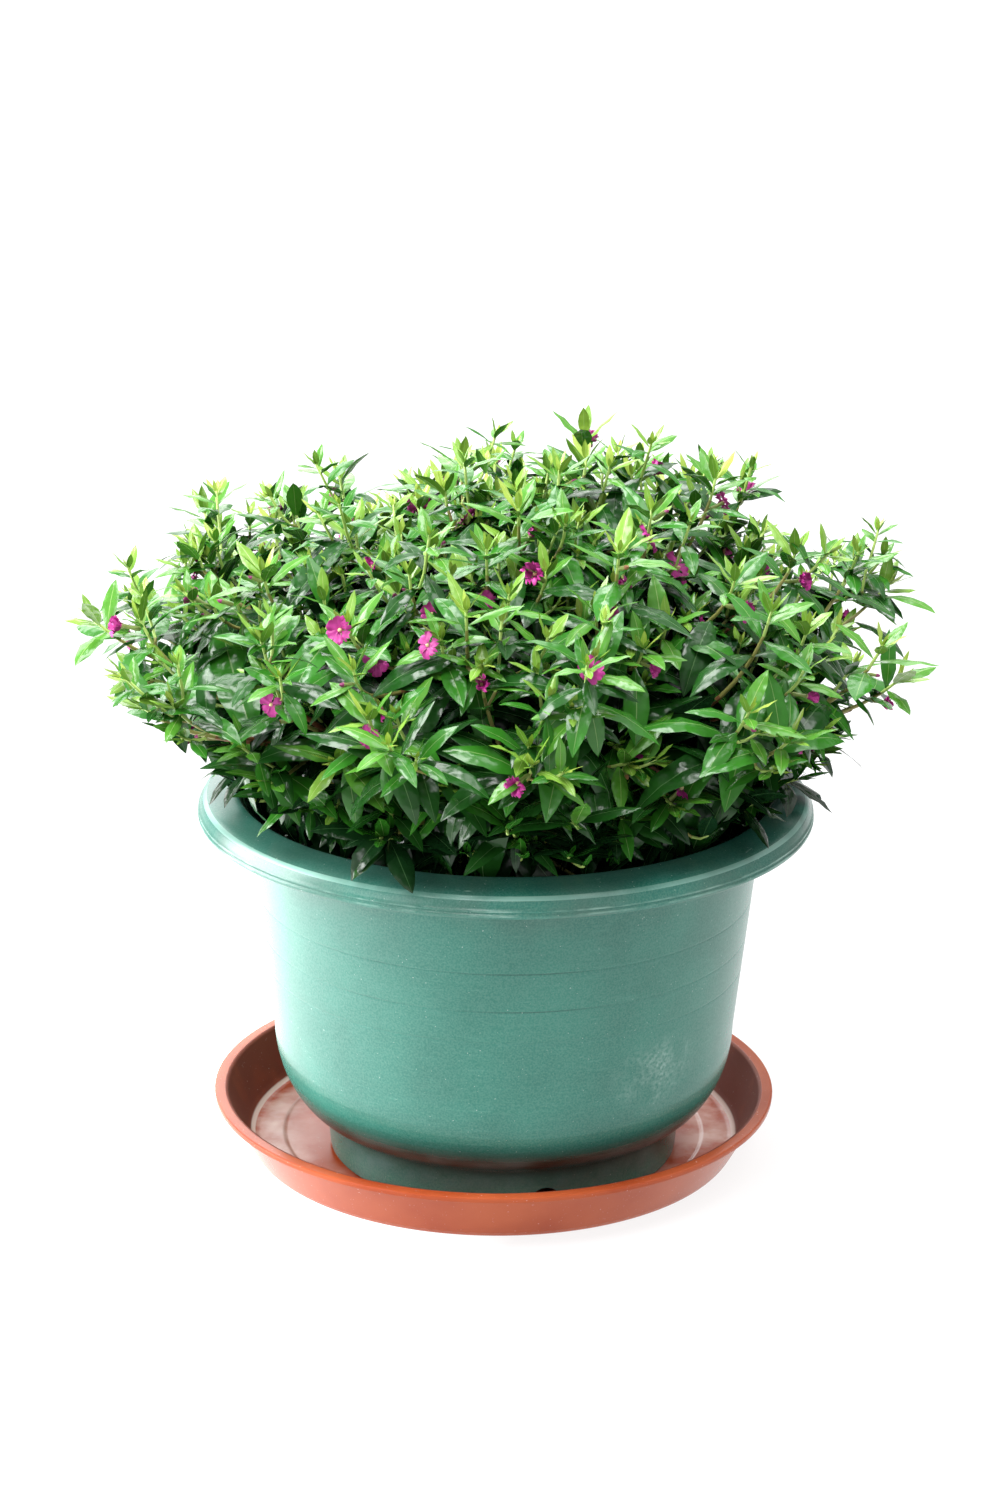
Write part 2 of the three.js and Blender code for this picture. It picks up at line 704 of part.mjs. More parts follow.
// The first of a few ever straighter paths that stays in the mass's own space
function shootPath(space, start, startWay, tip, tipWay) {
  for (const bend of SHOOT_BENDS) {
    const path = bendTo(start, startWay, tip, tipWay, bend, bend);
    const points = path.getPoints(SHOOT_TEST_POINTS).slice(1);
    if (fits(points, SHOOT_RADIUS, space)) {
      return path;
    }
  }
  return null;
}

// The shoot's own skin: three-sided rings, two to each node, so that each leaf has a face to grow from
function shootSkin(shoot) {
  const { path } = shoot;
  const halfNode = NODE_LENGTH / 2 / path.getLength();
  const shares = [0, ...LEAF_PAIRS.flatMap((pair) => [pair.place - halfNode, pair.place + halfNode])];
  const frames = framesAlong(path, shares.map((share) => Math.min(share, 1)));
  const corners = [];
  for (const frame of frames) {
    const radius = SHOOT_RADIUS + (SHOOT_TIP_RADIUS - SHOOT_RADIUS) * frame.share;
    for (let k = 0; k < SHOOT_SIDES; k += 1) {
      const out = acrossFrame(frame, (k * 2 * Math.PI) / SHOOT_SIDES);
      corners.push(frame.centre.clone().addScaledVector(out, radius));
    }
  }
  return { frames, corners };
}

// The lower triangle of the skin's face that looks a given way, above one ring
function faceAt(node, turn) {
  const quad = Math.floor((((turn / (2 * Math.PI)) % 1) + 1) * SHOOT_SIDES) % SHOOT_SIDES;
  const low = node * SHOOT_SIDES;
  const next = (quad + 1) % SHOOT_SIDES;
  return [low + quad, low + next, low + SHOOT_SIDES + next];
}

function faceMiddle(skin, face) {
  const middle = new THREE.Vector3();
  face.forEach((corner) => middle.addScaledVector(skin.corners[corner], 1 / 3));
  return middle;
}

// The lines of the spine and of all shoots but one
function linesBeside(grown, shoot) {
  return grown.lines.filter((line) => line.shoot !== shoot).map((line) => line.ends);
}

// Grows a leaf from one face of the shoot's skin, where it has room, and returns its faces
function growLeaf(grown, shoot, skin, node, pair, turn, random) {
  const frame = skin.frames[node];
  const rootFace = faceAt(node, turn);
  const root = faceMiddle(skin, rootFace);
  const angle = degrees(pair.angle + (random() - 0.5) * LEAF_ANGLE_SPREAD);
  const size = pair.size * (1 + LEAF_SIZE_SPREAD * (random() - 0.5));
  const quadTurn = (((rootFace[0] % SHOOT_SIDES) + 0.5) * 2 * Math.PI) / SHOOT_SIDES;
  for (const [swing, shrink] of LEAF_TRIES) {
    const away = Math.atan2(Math.sin(turn - quadTurn), Math.cos(turn - quadTurn));
    const across = acrossFrame(frame, quadTurn + away * LEAF_TURN_KEPT + degrees(swing));
    const way = frame.along.clone().multiplyScalar(Math.cos(angle)).addScaledVector(across, Math.sin(angle));
    const face = frame.along.clone().addScaledVector(way, -frame.along.dot(way)).normalize();
    const length = LEAF_LENGTH * size * shrink;
    const corners = leafCorners(root, way, face, length, LEAF_WIDTH * size * shrink);
    const sheet = leafSheet(root, corners);
    const free = !crossesAny(sheet, grown.sheets, linesBeside(grown, shoot));
    if (free && fits(leafSamples(root, corners), 0, grown.space)) {
      grown.sheets.push(sheet);
      return { rootFace, corners };
    }
  }
  return null;
}

// The faces that stand on one triangle (a, b, c) of the shoot and close round a leaf
function leafFaces([a, b, c], first) {
  const [left, right, tip, under] = [first, first + 1, first + 2, first + 3];
  return [
    c, left, right, left, tip, right, b, c, right, c, a, left,
    a, b, under, b, right, under, right, tip, under, tip, left, under, left, a, under,
  ];
}

// Grows a flower from the face between two leaves of a pair, where it has room
function growBlossom(grown, shoot, skin, node) {
  const frame = skin.frames[node];
  const taken = [0, Math.PI].map((half) => faceAt(node, shoot.turn + (BLOSSOM_PAIR * Math.PI) / 2 + half));
  const rootFace = [0, 1, 2]
    .map((quad) => faceAt(node, ((quad + 0.5) * 2 * Math.PI) / SHOOT_SIDES))
    .find((face) => !taken.some((other) => other[0] === face[0]));
  const root = faceMiddle(skin, rootFace);
  const across = root.clone().sub(frame.centre);
  across.addScaledVector(frame.along, -across.dot(frame.along)).normalize();
  const way = across.multiplyScalar(BLOSSOM_OUTWARD).addScaledVector(frame.along, 1).normalize();
  const corners = blossomCorners(root, way, skin.corners[rootFace[0]]);
  const [throat, ...rim] = corners;
  const triangles = rim.map((corner, i) => [throat, corner, rim[(i + 1) % rim.length]]);
  const lines = rim.map((corner, i) => [corner, rim[(i + 1) % rim.length]]);
  lines.push([root.clone().lerp(throat, BLOSSOM_CLEAR_ROOT), throat]);
  const sheet = { triangles, lines };
  if (crossesAny(sheet, grown.sheets, linesBeside(grown, shoot)) || !fits(corners, 0, grown.space)) {
    return null;
  }
  grown.sheets.push(sheet);
  return { rootFace, corners };
}

// A shoot with its leaves and its flower as one closed skin
function shootGeometry(grown, shoot, random) {
  const skin = shootSkin(shoot);
  const corners = [...skin.corners];
  const grownFaces = new Map();
  const bloom = shoot.blooms ? growBlossom(grown, shoot, skin, 1 + 2 * BLOSSOM_PAIR) : null;
  if (bloom !== null) {
    grownFaces.set(bloom.rootFace.join(' '), blossomFaces(bloom.rootFace, corners.length));
    corners.push(...bloom.corners);
  }
  for (const [i, pair] of LEAF_PAIRS.entries()) {
    for (const half of [0, Math.PI]) {
      const turn = shoot.turn + (i * Math.PI) / 2 + half;
      const leaf = growLeaf(grown, shoot, skin, 1 + 2 * i, pair, turn, random);
      if (leaf !== null) {
        grownFaces.set(leaf.rootFace.join(' '), leafFaces(leaf.rootFace, corners.length));
        corners.push(...leaf.corners);
      }
    }
  }
  const last = (skin.frames.length - 1) * SHOOT_SIDES;
  const faces = [0, 2, 1, last, last + 1, last + 2];
  for (let low = 0; low < last; low += SHOOT_SIDES) {
    for (let k = 0; k < SHOOT_SIDES; k += 1) {
      const [a, b] = [low + k, low + ((k + 1) % SHOOT_SIDES)];
      const [c, d] = [b + SHOOT_SIDES, a + SHOOT_SIDES];
      faces.push(...(grownFaces.get([a, b, c].join(' ')) ?? [a, b, c]), a, c, d);
    }
  }
  return facesGeometry(corners, faces);
}

// The shoots of one mass, each from a place on the spine to the first tip that it can reach
function growShoots(space, tips, random) {
  const { site, sites } = space;
  const own = tips.filter(({ tip }) => depthInCell(tip, site, sites) > 0);
  const shoots = [];
  for (const [i, { tip, way }] of own.entries()) {
    const share = SHOOT_FIRST + (SHOOT_LAST - SHOOT_FIRST) * ((i + 0.5) / own.length);
    const start = site.spine.getPoint(share);
    const startWay = tip.clone().sub(start).normalize();
    startWay.lerp(site.spine.getTangent(share), SHOOT_SPINE_SHARE).normalize();
    const tipWay = way.clone().multiplyScalar(SHOOT_OUTWARD).addScaledVector(UP, SHOOT_UPWARD).normalize();
    const turn = random() * Math.PI;
    const blooms = random() < BLOSSOM_SHARE;
    let path = null;
    for (const pull of SHOOT_PULLS) {
      const end = start.clone().lerp(tip, pull);
      path = path ?? shootPath(space, start, startWay, end, tipWay);
    }
    if (path !== null) {
      shoots.push({ path, turn, blooms });
    }
  }
  return shoots;
}

// One mass: its spine, the shoots that leave it for their tips, and what grows on them
function massGeometry(space, tips) {
  const { site, sites } = space;
  const random = randomRun(SEED + sites.indexOf(site) * SEED_STEP);
  const shoots = growShoots(space, tips, random);
  const spine = limbGeometry(site.spine, BOUGH_TIP_RADIUS, SHOOT_RADIUS, SPINE_SIDES, SPINE_STEPS);
  const paths = [{ points: site.spine.getPoints(SPINE_STEPS) }];
  shoots.forEach((shoot) => paths.push({ points: shoot.path.getPoints(SHOOT_STEPS), shoot }));
  const lines = paths.flatMap(({ points, shoot }) =>
    points.slice(1).map((point, i) => ({ ends: [points[i], point], shoot })),
  );
  const grown = { space, lines, sheets: [] };
  const pieces = [spine, ...shoots.map((shoot) => shootGeometry(grown, shoot, random))];
  return largestSkin(toGeometry(joinAll(pieces.map(toSolid))));
}

const PLASTIC_GREEN = material(0x2b7364, 0.38, 'green_pot_plastic');
const PLASTIC_CLAY = material(0xb4583a, 0.35, 'clay_coloured_plastic');
const POTTING_SOIL = material(0x2b1f18, 0.95, 'potting_soil');
const BARK = material(0x6b4632, 0.8, 'heather_bark');
const FOLIAGE = material(0x3c7d2b, 0.45, 'heather_leaf');

function named(geometry, finish, name) {
  const mesh = new THREE.Mesh(geometry, finish);
  mesh.name = name;
  return mesh;
}

const object = new THREE.Group();
object.add(named(turned(saucerProfile()), PLASTIC_CLAY, 'saucer'));

const plant = new THREE.Group();
plant.position.copy(POT_CENTRE);
plant.add(named(potGeometry(), PLASTIC_GREEN, 'pot'));
plant.add(named(turned(soilProfile()), POTTING_SOIL, 'soil'));

const stemGeometry = new THREE.CylinderGeometry(STEM_TOP_RADIUS, STEM_RADIUS, STEM_HEIGHT, STEM_SIDES);
stemGeometry.rotateX(Math.PI / 2);
stemGeometry.translate(0, 0, SOIL_HEIGHT + SOIL_MOUND + GAP + STEM_HEIGHT / 2);
plant.add(named(stemGeometry, BARK, 'stem'));

const sites = massSites();
growBoughs(sites);
const tipRandom = randomRun(SEED);
const tips = [
  ...shootTips(SHOOT_COUNT, 1, CROWN_LOWEST, tipRandom),
  ...shootTips(INNER_SHOOT_COUNT, INNER_REACH, INNER_LOWEST, tipRandom),
  ...longTips(tipRandom),
];
const limbs = sites.flatMap((site) => site.bough.getPoints(BOUGH_TEST_POINTS));
for (const site of sites) {
  const bough = limbGeometry(site.bough, BOUGH_RADIUS, BOUGH_TIP_RADIUS, BOUGH_SIDES, BOUGH_STEPS);
  plant.add(named(bough, BARK, `bough_${site.name}`));
  plant.add(named(massGeometry({ site, sites, limbs }, tips), FOLIAGE, `mass_${site.name}`));
}
object.add(plant);

export default object;
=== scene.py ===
# %% [markdown]
# # Potted mexican heather
# A leafy shrub with small magenta flowers grows in a rimmed green pot, and the pot stands on a clay-
# coloured saucer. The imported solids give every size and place. This script keeps them as a fixed frame
# and builds the looks round them: turned plastic pieces first, then the shrub's limbs, leaves and
# flowers, then light and camera.

# %% Load the solids
import math

import bmesh
import bpy
import numpy as np
from mathutils import Matrix, Vector, noise


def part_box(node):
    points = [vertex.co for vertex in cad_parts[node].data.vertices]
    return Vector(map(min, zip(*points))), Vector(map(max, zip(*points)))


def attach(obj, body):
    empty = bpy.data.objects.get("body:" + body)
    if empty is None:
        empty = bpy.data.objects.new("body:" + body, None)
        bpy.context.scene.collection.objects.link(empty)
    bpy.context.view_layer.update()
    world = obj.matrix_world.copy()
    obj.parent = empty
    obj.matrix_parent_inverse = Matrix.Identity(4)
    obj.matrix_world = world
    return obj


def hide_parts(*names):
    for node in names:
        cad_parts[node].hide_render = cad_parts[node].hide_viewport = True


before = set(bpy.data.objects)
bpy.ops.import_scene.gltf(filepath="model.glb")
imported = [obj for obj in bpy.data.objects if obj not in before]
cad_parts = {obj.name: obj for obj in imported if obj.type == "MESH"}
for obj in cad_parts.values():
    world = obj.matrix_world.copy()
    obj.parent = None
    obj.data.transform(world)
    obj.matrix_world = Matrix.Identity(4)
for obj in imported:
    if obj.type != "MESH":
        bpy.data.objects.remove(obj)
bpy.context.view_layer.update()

# %% [markdown]
# ## Units, colours and nodes
# Sizes are written in millimetres, as a grower would measure them, and MM turns them into Blender's
# metres. Colours are written as the hex values that a screen shows. A shader works on light, so one
# function turns them to linear values. One more function adds a shader node with its settings and links.

# %% Helpers for every piece
MM = 0.001
UP = Vector((0, 0, 1))


def between(ends, share):
    """The value at a share of the way from the first end to the second."""
    return ends[0] + (ends[1] - ends[0]) * share


def linear(hex_colour):
    """The linear red, green, blue and alpha of an sRGB colour such as "2b7364"."""
    shown = [int(hex_colour[i:i + 2], 16) / 255 for i in (0, 2, 4)]
    return [c / 12.92 if c <= 0.04045 else ((c + 0.055) / 1.055) ** 2.4 for c in shown] + [1]


def add_node(tree, kind, inputs=None, **settings):
    """Adds a shader node. An input is a plain value, or the output of another node to link from."""
    node = tree.nodes.new(kind)
    for key, value in settings.items():
        setattr(node, key, value)
    for socket, value in (inputs or {}).items():
        if isinstance(value, bpy.types.NodeSocket):
            tree.links.new(value, node.inputs[socket])
        else:
            node.inputs[socket].default_value = value
    return node


def new_material(name, colour, roughness, ior=1.5):
    """A material with a plain Principled surface, and the surface's node."""
    material = bpy.data.materials.new(name)
    material.use_nodes = True
    surface = material.node_tree.nodes["Principled BSDF"]
    surface.inputs["Base Color"].default_value = linear(colour)
    surface.inputs["Roughness"].default_value = roughness
    surface.inputs["IOR"].default_value = ior
    return material, surface


# %% [markdown]
# ## Turned pieces
# The pot and the saucer are moulded in a round tool, so each is one profile turned about an upright axis.
# In Blender that is a single vertex, extruded along the profile and then spun. Moulded corners are never
# sharp, so a helper first swaps each corner of the profile for a short curve. After the spin the doubled
# vertices on the axis and at the seam are merged, and then the normals are made to point outwards.

# %% A helper that turns a profile
TURN_STEPS = 128
CORNER_STEPS = 4
SMOOTH_ANGLE = math.radians(32)
SAME_CORNER, SAME_VERTEX = 1e-4, 0.01


def rounded(corners):
    """Swaps each (radius, height, rounding) corner for a curve that starts and ends that far from it."""
    line = [Vector(corners[0][:2])]
    for before, here, after in zip(corners, corners[1:], corners[2:]):
        corner = Vector(here[:2])
        back, on = Vector(before[:2]) - corner, Vector(after[:2]) - corner
        start = corner + back.normalized() * min(here[2], back.length / 2)
        end = corner + on.normalized() * min(here[2], on.length / 2)
        for i in range(CORNER_STEPS + 1):
            share = i / CORNER_STEPS
            line.append(start.lerp(corner, share).lerp(corner.lerp(end, share), share))
    line.append(Vector(corners[-1][:2]))
    return [point for i, point in enumerate(line) if i == 0 or (point - line[i - 1]).length > SAME_CORNER]


def turn_profile(name, line, centre):
    """Spins a line of (radius, height) points in millimetres round the upright axis through centre."""
    places = [centre + Vector((radius, 0, height)) * MM for radius, height in line]
    bpy.ops.mesh.primitive_plane_add(size=MM)
    piece = bpy.context.object
    piece.name = name
    bpy.ops.object.mode_set(mode="EDIT")
    bpy.ops.mesh.merge(type="CENTER")
    bpy.ops.transform.translate(value=places[0])
    for before, here in zip(places, places[1:]):
        bpy.ops.mesh.extrude_region_move(TRANSFORM_OT_translate={"value": here - before})
    bpy.ops.mesh.select_all(action="SELECT")
    bpy.ops.mesh.spin(steps=TURN_STEPS, angle=math.tau, center=centre, axis=UP)
    bpy.ops.mesh.select_all(action="SELECT")
    bpy.ops.mesh.remove_doubles(threshold=SAME_VERTEX * MM)
    bpy.ops.mesh.normals_make_consistent(inside=False)
    bpy.ops.object.mode_set(mode="OBJECT")
    bpy.ops.object.shade_smooth_by_angle(angle=SMOOTH_ANGLE)
    print(name, "faces:", len(piece.data.polygons))
    return piece


# %% [markdown]
# ## Saucer
# The saucer is a shallow tray with a flat floor, a leaning wall and a narrow flat rim that turns a little
# down at its edge. Its radius and height come from the solid's box, and the rest of the profile is
# measured from them.

# %% Turn the saucer
saucer_low, saucer_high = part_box("saucer")
SAUCER_RIM = (saucer_high.x - saucer_low.x) / 2 / MM
SAUCER_TOP = saucer_high.z / MM
SAUCER_BASE = 79.3
SAUCER_FLOOR = 3.0
SAUCER_INNER = SAUCER_RIM - 4.6
saucer_centre = Vector(((saucer_low.x + saucer_high.x) / 2, (saucer_low.y + saucer_high.y) / 2, 0))

# The corners go out from the middle of the underside, up the wall, over the rim and back to the middle
saucer = turn_profile("saucer_body", rounded([
    (0, 0, 0),
    (SAUCER_BASE, 0, 1.2),
    (SAUCER_BASE + 1.4, 1, 1.5),
    (SAUCER_INNER + 1.2, SAUCER_TOP - 2.4, 1.2),
    (SAUCER_RIM - 0.3, SAUCER_TOP - 2.0, 0.4),
    (SAUCER_RIM, SAUCER_TOP, 0.9),
    (SAUCER_INNER, SAUCER_TOP, 0.9),
    (SAUCER_BASE + 1.9, SAUCER_FLOOR, 3.2),
    (SAUCER_BASE - 9, SAUCER_FLOOR, 0.5),
    (SAUCER_BASE - 10, SAUCER_FLOOR - 0.4, 0.5),
    (0, SAUCER_FLOOR - 0.4, 0),
]), saucer_centre)

# %% [markdown]
# ## Pot
# The pot has a foot ring, a bowl that swells out of it and a wall that leans out slightly, with three
# faint grooves round it. The rim is a flat ring that ends in a crest, and a steep face with two small
# beads drops from the crest. The bowl is a quarter curve, so it is a formula, and the inner wall is the
# outer one moved in by the wall's thickness.

# %% The lines of the pot's wall
pot_low, pot_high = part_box("pot")
pot_centre = Vector(((pot_low.x + pot_high.x) / 2, (pot_low.y + pot_high.y) / 2, 0))
LIP_RADIUS = (pot_high.x - pot_low.x) / 2 / MM
POT_FOOT = pot_low.z / MM
POT_TOP = pot_high.z / MM
POT_WALL = 2.2
CREASE_RADIUS, CREASE_HEIGHT = 58.6, 17.6
BOWL_RADIUS, BOWL_HEIGHT, BOWL_CORNER = 75.6, 48, 1.25
BOWL_STEPS = 14
NECK_RADIUS, NECK_HEIGHT = 83.4, 118.6
RING_HEIGHTS = (69.6, 80.5, 93.7)
RING_WIDTH, RING_DEPTH = 0.9, 0.13


def wall_radius(height):
    """The outer radius of the straight wall above the bowl."""
    return between((BOWL_RADIUS, NECK_RADIUS), (height - BOWL_HEIGHT) / (NECK_HEIGHT - BOWL_HEIGHT))


def bowl_line():
    """The outer line of the bowl, from the crease over the foot up to the straight wall."""
    low_radius, low_height = CREASE_RADIUS + 1, CREASE_HEIGHT + 0.5
    line = []
    for i in range(BOWL_STEPS + 1):
        turn = math.pi / 2 * i / BOWL_STEPS
        radius = between((low_radius, BOWL_RADIUS), math.sin(turn) ** BOWL_CORNER)
        line.append((radius, between((low_height, BOWL_HEIGHT), 1 - math.cos(turn)), 0.4))
    return line


def ring_corners():
    """The shallow grooves in the straight wall, low end first."""
    corners = []
    for height in RING_HEIGHTS:
        for step, depth in ((-1, 0), (0, RING_DEPTH), (1, 0)):
            at = height + step * RING_WIDTH / 2
            corners.append((wall_radius(at) - depth, at, 0.2))
    return corners


outer_wall = bowl_line() + ring_corners() + [(NECK_RADIUS, NECK_HEIGHT, 0.6)]
inner_wall = [(radius - POT_WALL, height + (0.4 if height > BOWL_HEIGHT else POT_WALL / 2), 0.4)
              for radius, height, _ in bowl_line()[1:] + [(NECK_RADIUS, NECK_HEIGHT, 0)]]
print("corners of the outer and inner wall:", len(outer_wall), len(inner_wall))

# %% Turn the pot
FOOT_RADIUS = 57.2
LIP_HEIGHT, CREST_HEIGHT = 120.3, 125.8
BEAD_HEIGHTS = (LIP_HEIGHT, LIP_HEIGHT + 1.4)

# The corners go out from the middle of the underside, up the wall, round the rim and down the inside
pot = turn_profile("pot_body", rounded([
    (0, CREASE_HEIGHT - 0.4, 0),
    (CREASE_RADIUS - POT_WALL - 1.2, CREASE_HEIGHT - 0.4, 0.6),
    (FOOT_RADIUS - POT_WALL - 0.6, POT_FOOT, 0.5),
    (FOOT_RADIUS, POT_FOOT, 0.8),
    (CREASE_RADIUS, CREASE_HEIGHT, 0.8),
    *outer_wall,
    (LIP_RADIUS - 13.4, LIP_HEIGHT + 2.9, 1.5),
    (LIP_RADIUS - 3.6, LIP_HEIGHT + 1.0, 1.0),
    (LIP_RADIUS - 2.0, LIP_HEIGHT - 1.2, 0.6),
    (LIP_RADIUS - 0.5, LIP_HEIGHT - 1.2, 0.5),
    (LIP_RADIUS, BEAD_HEIGHTS[0], 0.5),
    (LIP_RADIUS - 0.7, LIP_HEIGHT + 0.7, 0.3),
    (LIP_RADIUS - 0.1, BEAD_HEIGHTS[1], 0.5),
    (LIP_RADIUS - 0.8, LIP_HEIGHT + 2.1, 0.5),
    (LIP_RADIUS - 2.3, CREST_HEIGHT, 3.2),
    (LIP_RADIUS - 11.6, POT_TOP - 0.1, 1.2),
    (LIP_RADIUS - 13.0, POT_TOP, 0.8),
    (LIP_RADIUS - 14.1, POT_TOP - 1.6, 0.8),
    *reversed(inner_wall),
    (CREASE_RADIUS - 2, CREASE_HEIGHT + POT_WALL, 1.5),
    (0, CREASE_HEIGHT + POT_WALL, 0),
]), pot_centre)

# %% [markdown]
# The foot ring has three arched notches, so that water can run out from under the pot. Each is cut with a
# Boolean modifier: a cylinder lying on its side makes the arch, and the cutters are deleted once they
# have done their work.

# %% Cut the drain notches
NOTCH_COUNT = 3
NOTCH_WIDTH, NOTCH_HEIGHT, NOTCH_LENGTH = 12, 7.5, 24
NOTCH_HEADING = -76
NOTCH_SIDES = 48


def heading_vector(heading, slope):
    """The way out at a heading round the pot's axis and a slope above the level, both in degrees."""
    turn, lift = math.radians(heading), math.radians(slope)
    return Vector((math.cos(turn) * math.cos(lift), math.sin(turn) * math.cos(lift), math.sin(lift)))


cutters = []
for i in range(NOTCH_COUNT):
    heading = NOTCH_HEADING + 360 * i / NOTCH_COUNT
    bpy.ops.mesh.primitive_cylinder_add(
        vertices=NOTCH_SIDES, radius=NOTCH_WIDTH / 2 * MM, depth=NOTCH_LENGTH * MM)
    cutter = bpy.context.object
    cutter.scale = (2 * NOTCH_HEIGHT / NOTCH_WIDTH, 1, 1)
    bpy.ops.object.transform_apply(location=False, rotation=False, scale=True)
    cutter.rotation_euler = (0, math.pi / 2, math.radians(heading))
    cutter.location = pot_centre + heading_vector(heading, 0) * FOOT_RADIUS * MM + UP * POT_FOOT * MM
    cutters.append(cutter)
for cutter in cutters:
    cutter.select_set(True)
bpy.context.view_layer.objects.active = cutters[0]
bpy.ops.object.join()
notches = pot.modifiers.new("notches", "BOOLEAN")
notches.operation = "DIFFERENCE"
notches.solver = "EXACT"
notches.object = cutters[0]
bpy.context.view_layer.objects.active = pot
bpy.ops.object.modifier_apply(modifier=notches.name)
bpy.data.objects.remove(cutters[0])
pot.select_set(True)
bpy.ops.object.shade_smooth_by_angle(angle=SMOOTH_ANGLE)
print("pot faces with notches:", len(pot.data.polygons))

# %% [markdown]
# ## Soil
# Potting soil fills the pot to about 16 mm below the rim and hardly shows. Its sides and top are turned
# like the pot, and then the top is made lumpy: each vertex moves up or down by a smooth noise that dies
# out at the wall.

# %% Turn the soil and roughen its top
SOIL_TOP, SOIL_MOUND, SOIL_STEPS = 111, 3, 26
SOIL_GAP = 0.3
SOIL_BASE = CREASE_HEIGHT + POT_WALL + 0.4
LUMP_SIZE, LUMP_HEIGHT, LUMP_MOST = 5, 1.6, 0.6
LUMP_SINK, LUMP_EDGE = 0.5, 4
# How fast finer layers of a noise fade, how much finer each is than the last, and the number of layers
NOISE_LAYERS = (1.0, 2.0, 3)

soil_radius = wall_radius(SOIL_TOP) - POT_WALL - SOIL_GAP
soil_line = [Vector((0, SOIL_BASE)), Vector((CREASE_RADIUS - 3, SOIL_BASE))]
soil_line += [Vector((radius - 0.4, height + SOIL_GAP)) for radius, height, _ in inner_wall[:-1]]
for i in range(SOIL_STEPS + 1):
    mound = SOIL_MOUND * math.sin(math.pi / 2 * i / SOIL_STEPS)
    soil_line.append(Vector((soil_radius * (1 - i / SOIL_STEPS), SOIL_TOP + mound)))
soil = turn_profile("soil_body", soil_line, pot_centre)
for vertex in soil.data.vertices:
    if vertex.co.z > (SOIL_TOP - 0.5) * MM:
        out = (vertex.co - pot_centre).xy.length / MM
        calm = min(1, (soil_radius - out) / LUMP_EDGE)
        lump = noise.fractal(vertex.co / (LUMP_SIZE * MM), *NOISE_LAYERS)
        vertex.co.z += (min(lump, LUMP_MOST) * LUMP_HEIGHT - LUMP_SINK) * calm * MM

# %% [markdown]
# ## How the shrub grows: curves and a seeded run of numbers
# The crown must look wild and still come out the same each time. So every choice is drawn from a seeded
# run of numbers, the same kind of run that shaped the solids. Every limb is a curve that leaves its start
# one way and arrives at its end another, as a shoot does when it leaves the wood and then turns to the
# light.

# %% Seeded numbers
SEED = 4104
WORD, STRIDE = 0xFFFFFFFF, 0x6D2B79F5


def random_run(seed):
    """A function that gives the next number from 0 to 1 of a seeded run."""
    state = seed & WORD

    def draw():
        nonlocal state
        state = (state + STRIDE) & WORD
        value = (state ^ (state >> 15)) * (state | 1) & WORD
        value ^= (value + ((value ^ (value >> 7)) * (value | 61) & WORD)) & WORD
        return ((value ^ (value >> 14)) & WORD) / (WORD + 1)

    return draw


# %% Bending curves
class Bend:
    """A curve that leaves its start one way and comes to its end another."""

    def __init__(self, start, start_way, end, end_way, start_slack, end_slack):
        run = (end - start).length
        self.knots = (start, start + start_way * run * start_slack, end - end_way * run * end_slack, end)

    def point(self, share):
        rest = 1 - share
        a, b, c, d = self.knots
        return a * rest**3 + b * (3 * rest**2 * share) + c * (3 * rest * share**2) + d * share**3

    def way(self, share):
        step = 1e-3
        return (self.point(min(share + step, 1)) - self.point(max(share - step, 0))).normalized()

    def length(self, steps=12):
        points = [self.point(i / steps) for i in range(steps + 1)]
        return sum((b - a).length for a, b in zip(points, points[1:]))


def across(way, turn, hint=UP):
    """A unit vector across a way, turned round it from the side that leans most to hint."""
    side = hint - way * hint.dot(way)
    if side.length < 0.05:
        side = Vector((1, 0, 0)) - way * way.x
    side.normalize()
    return side * math.cos(turn) + way.cross(side) * math.sin(turn)


# %% [markdown]
# ## The space that each mass of foliage fills
# The crown is made of thirteen masses of foliage in three tiers. A mass owns the space that is nearer to
# its middle than to any other. The middles are those of the solids, so the limbs made here lie along the
# solids.

# %% The sites of the masses
GAP = 0.3
STEM_RADIUS, STEM_TOP_RADIUS, STEM_HEIGHT = 8.2, 6.8, 24
TIERS = [
    dict(name="low", count=7, heading=12, radius=86, height=162, start=8, slope=24),
    dict(name="high", count=5, heading=38, radius=60, height=191, start=16.5, slope=52),
    dict(name="top", count=1, heading=30, radius=10, height=212, start=STEM_HEIGHT, slope=90),
]


def depth_in_cell(point, site):
    """How far a point is inside the space that is nearer to this site than to any other."""
    depth = math.inf
    for other in sites:
        if other is not site:
            between_them = other["middle"] - site["middle"]
            halfway = (site["middle"] + other["middle"]) / 2
            depth = min(depth, (halfway - point).dot(between_them) / between_them.length)
    return depth


def owner(point):
    """The mass in whose space a point lies."""
    return min(sites, key=lambda site: (site["middle"] - point).length)


sites = []
for tier in TIERS:
    for i in range(tier["count"]):
        heading = tier["heading"] + 360 / tier["count"] * i
        middle = heading_vector(heading, 0) * tier["radius"] + UP * tier["height"]
        sites.append(dict(name=f"{tier['name']}_{i + 1}", tier=tier, heading=heading, middle=middle))
print("masses:", [site["name"] for site in sites])

# %% [markdown]
# ## Boughs
# One bough leaves the short woody stem for each mass. It ends where it enters the mass's space, turned up
# a little, and a spine runs on from there towards the middle. A limb is kept as a curve first, and gets
# its bark further down.

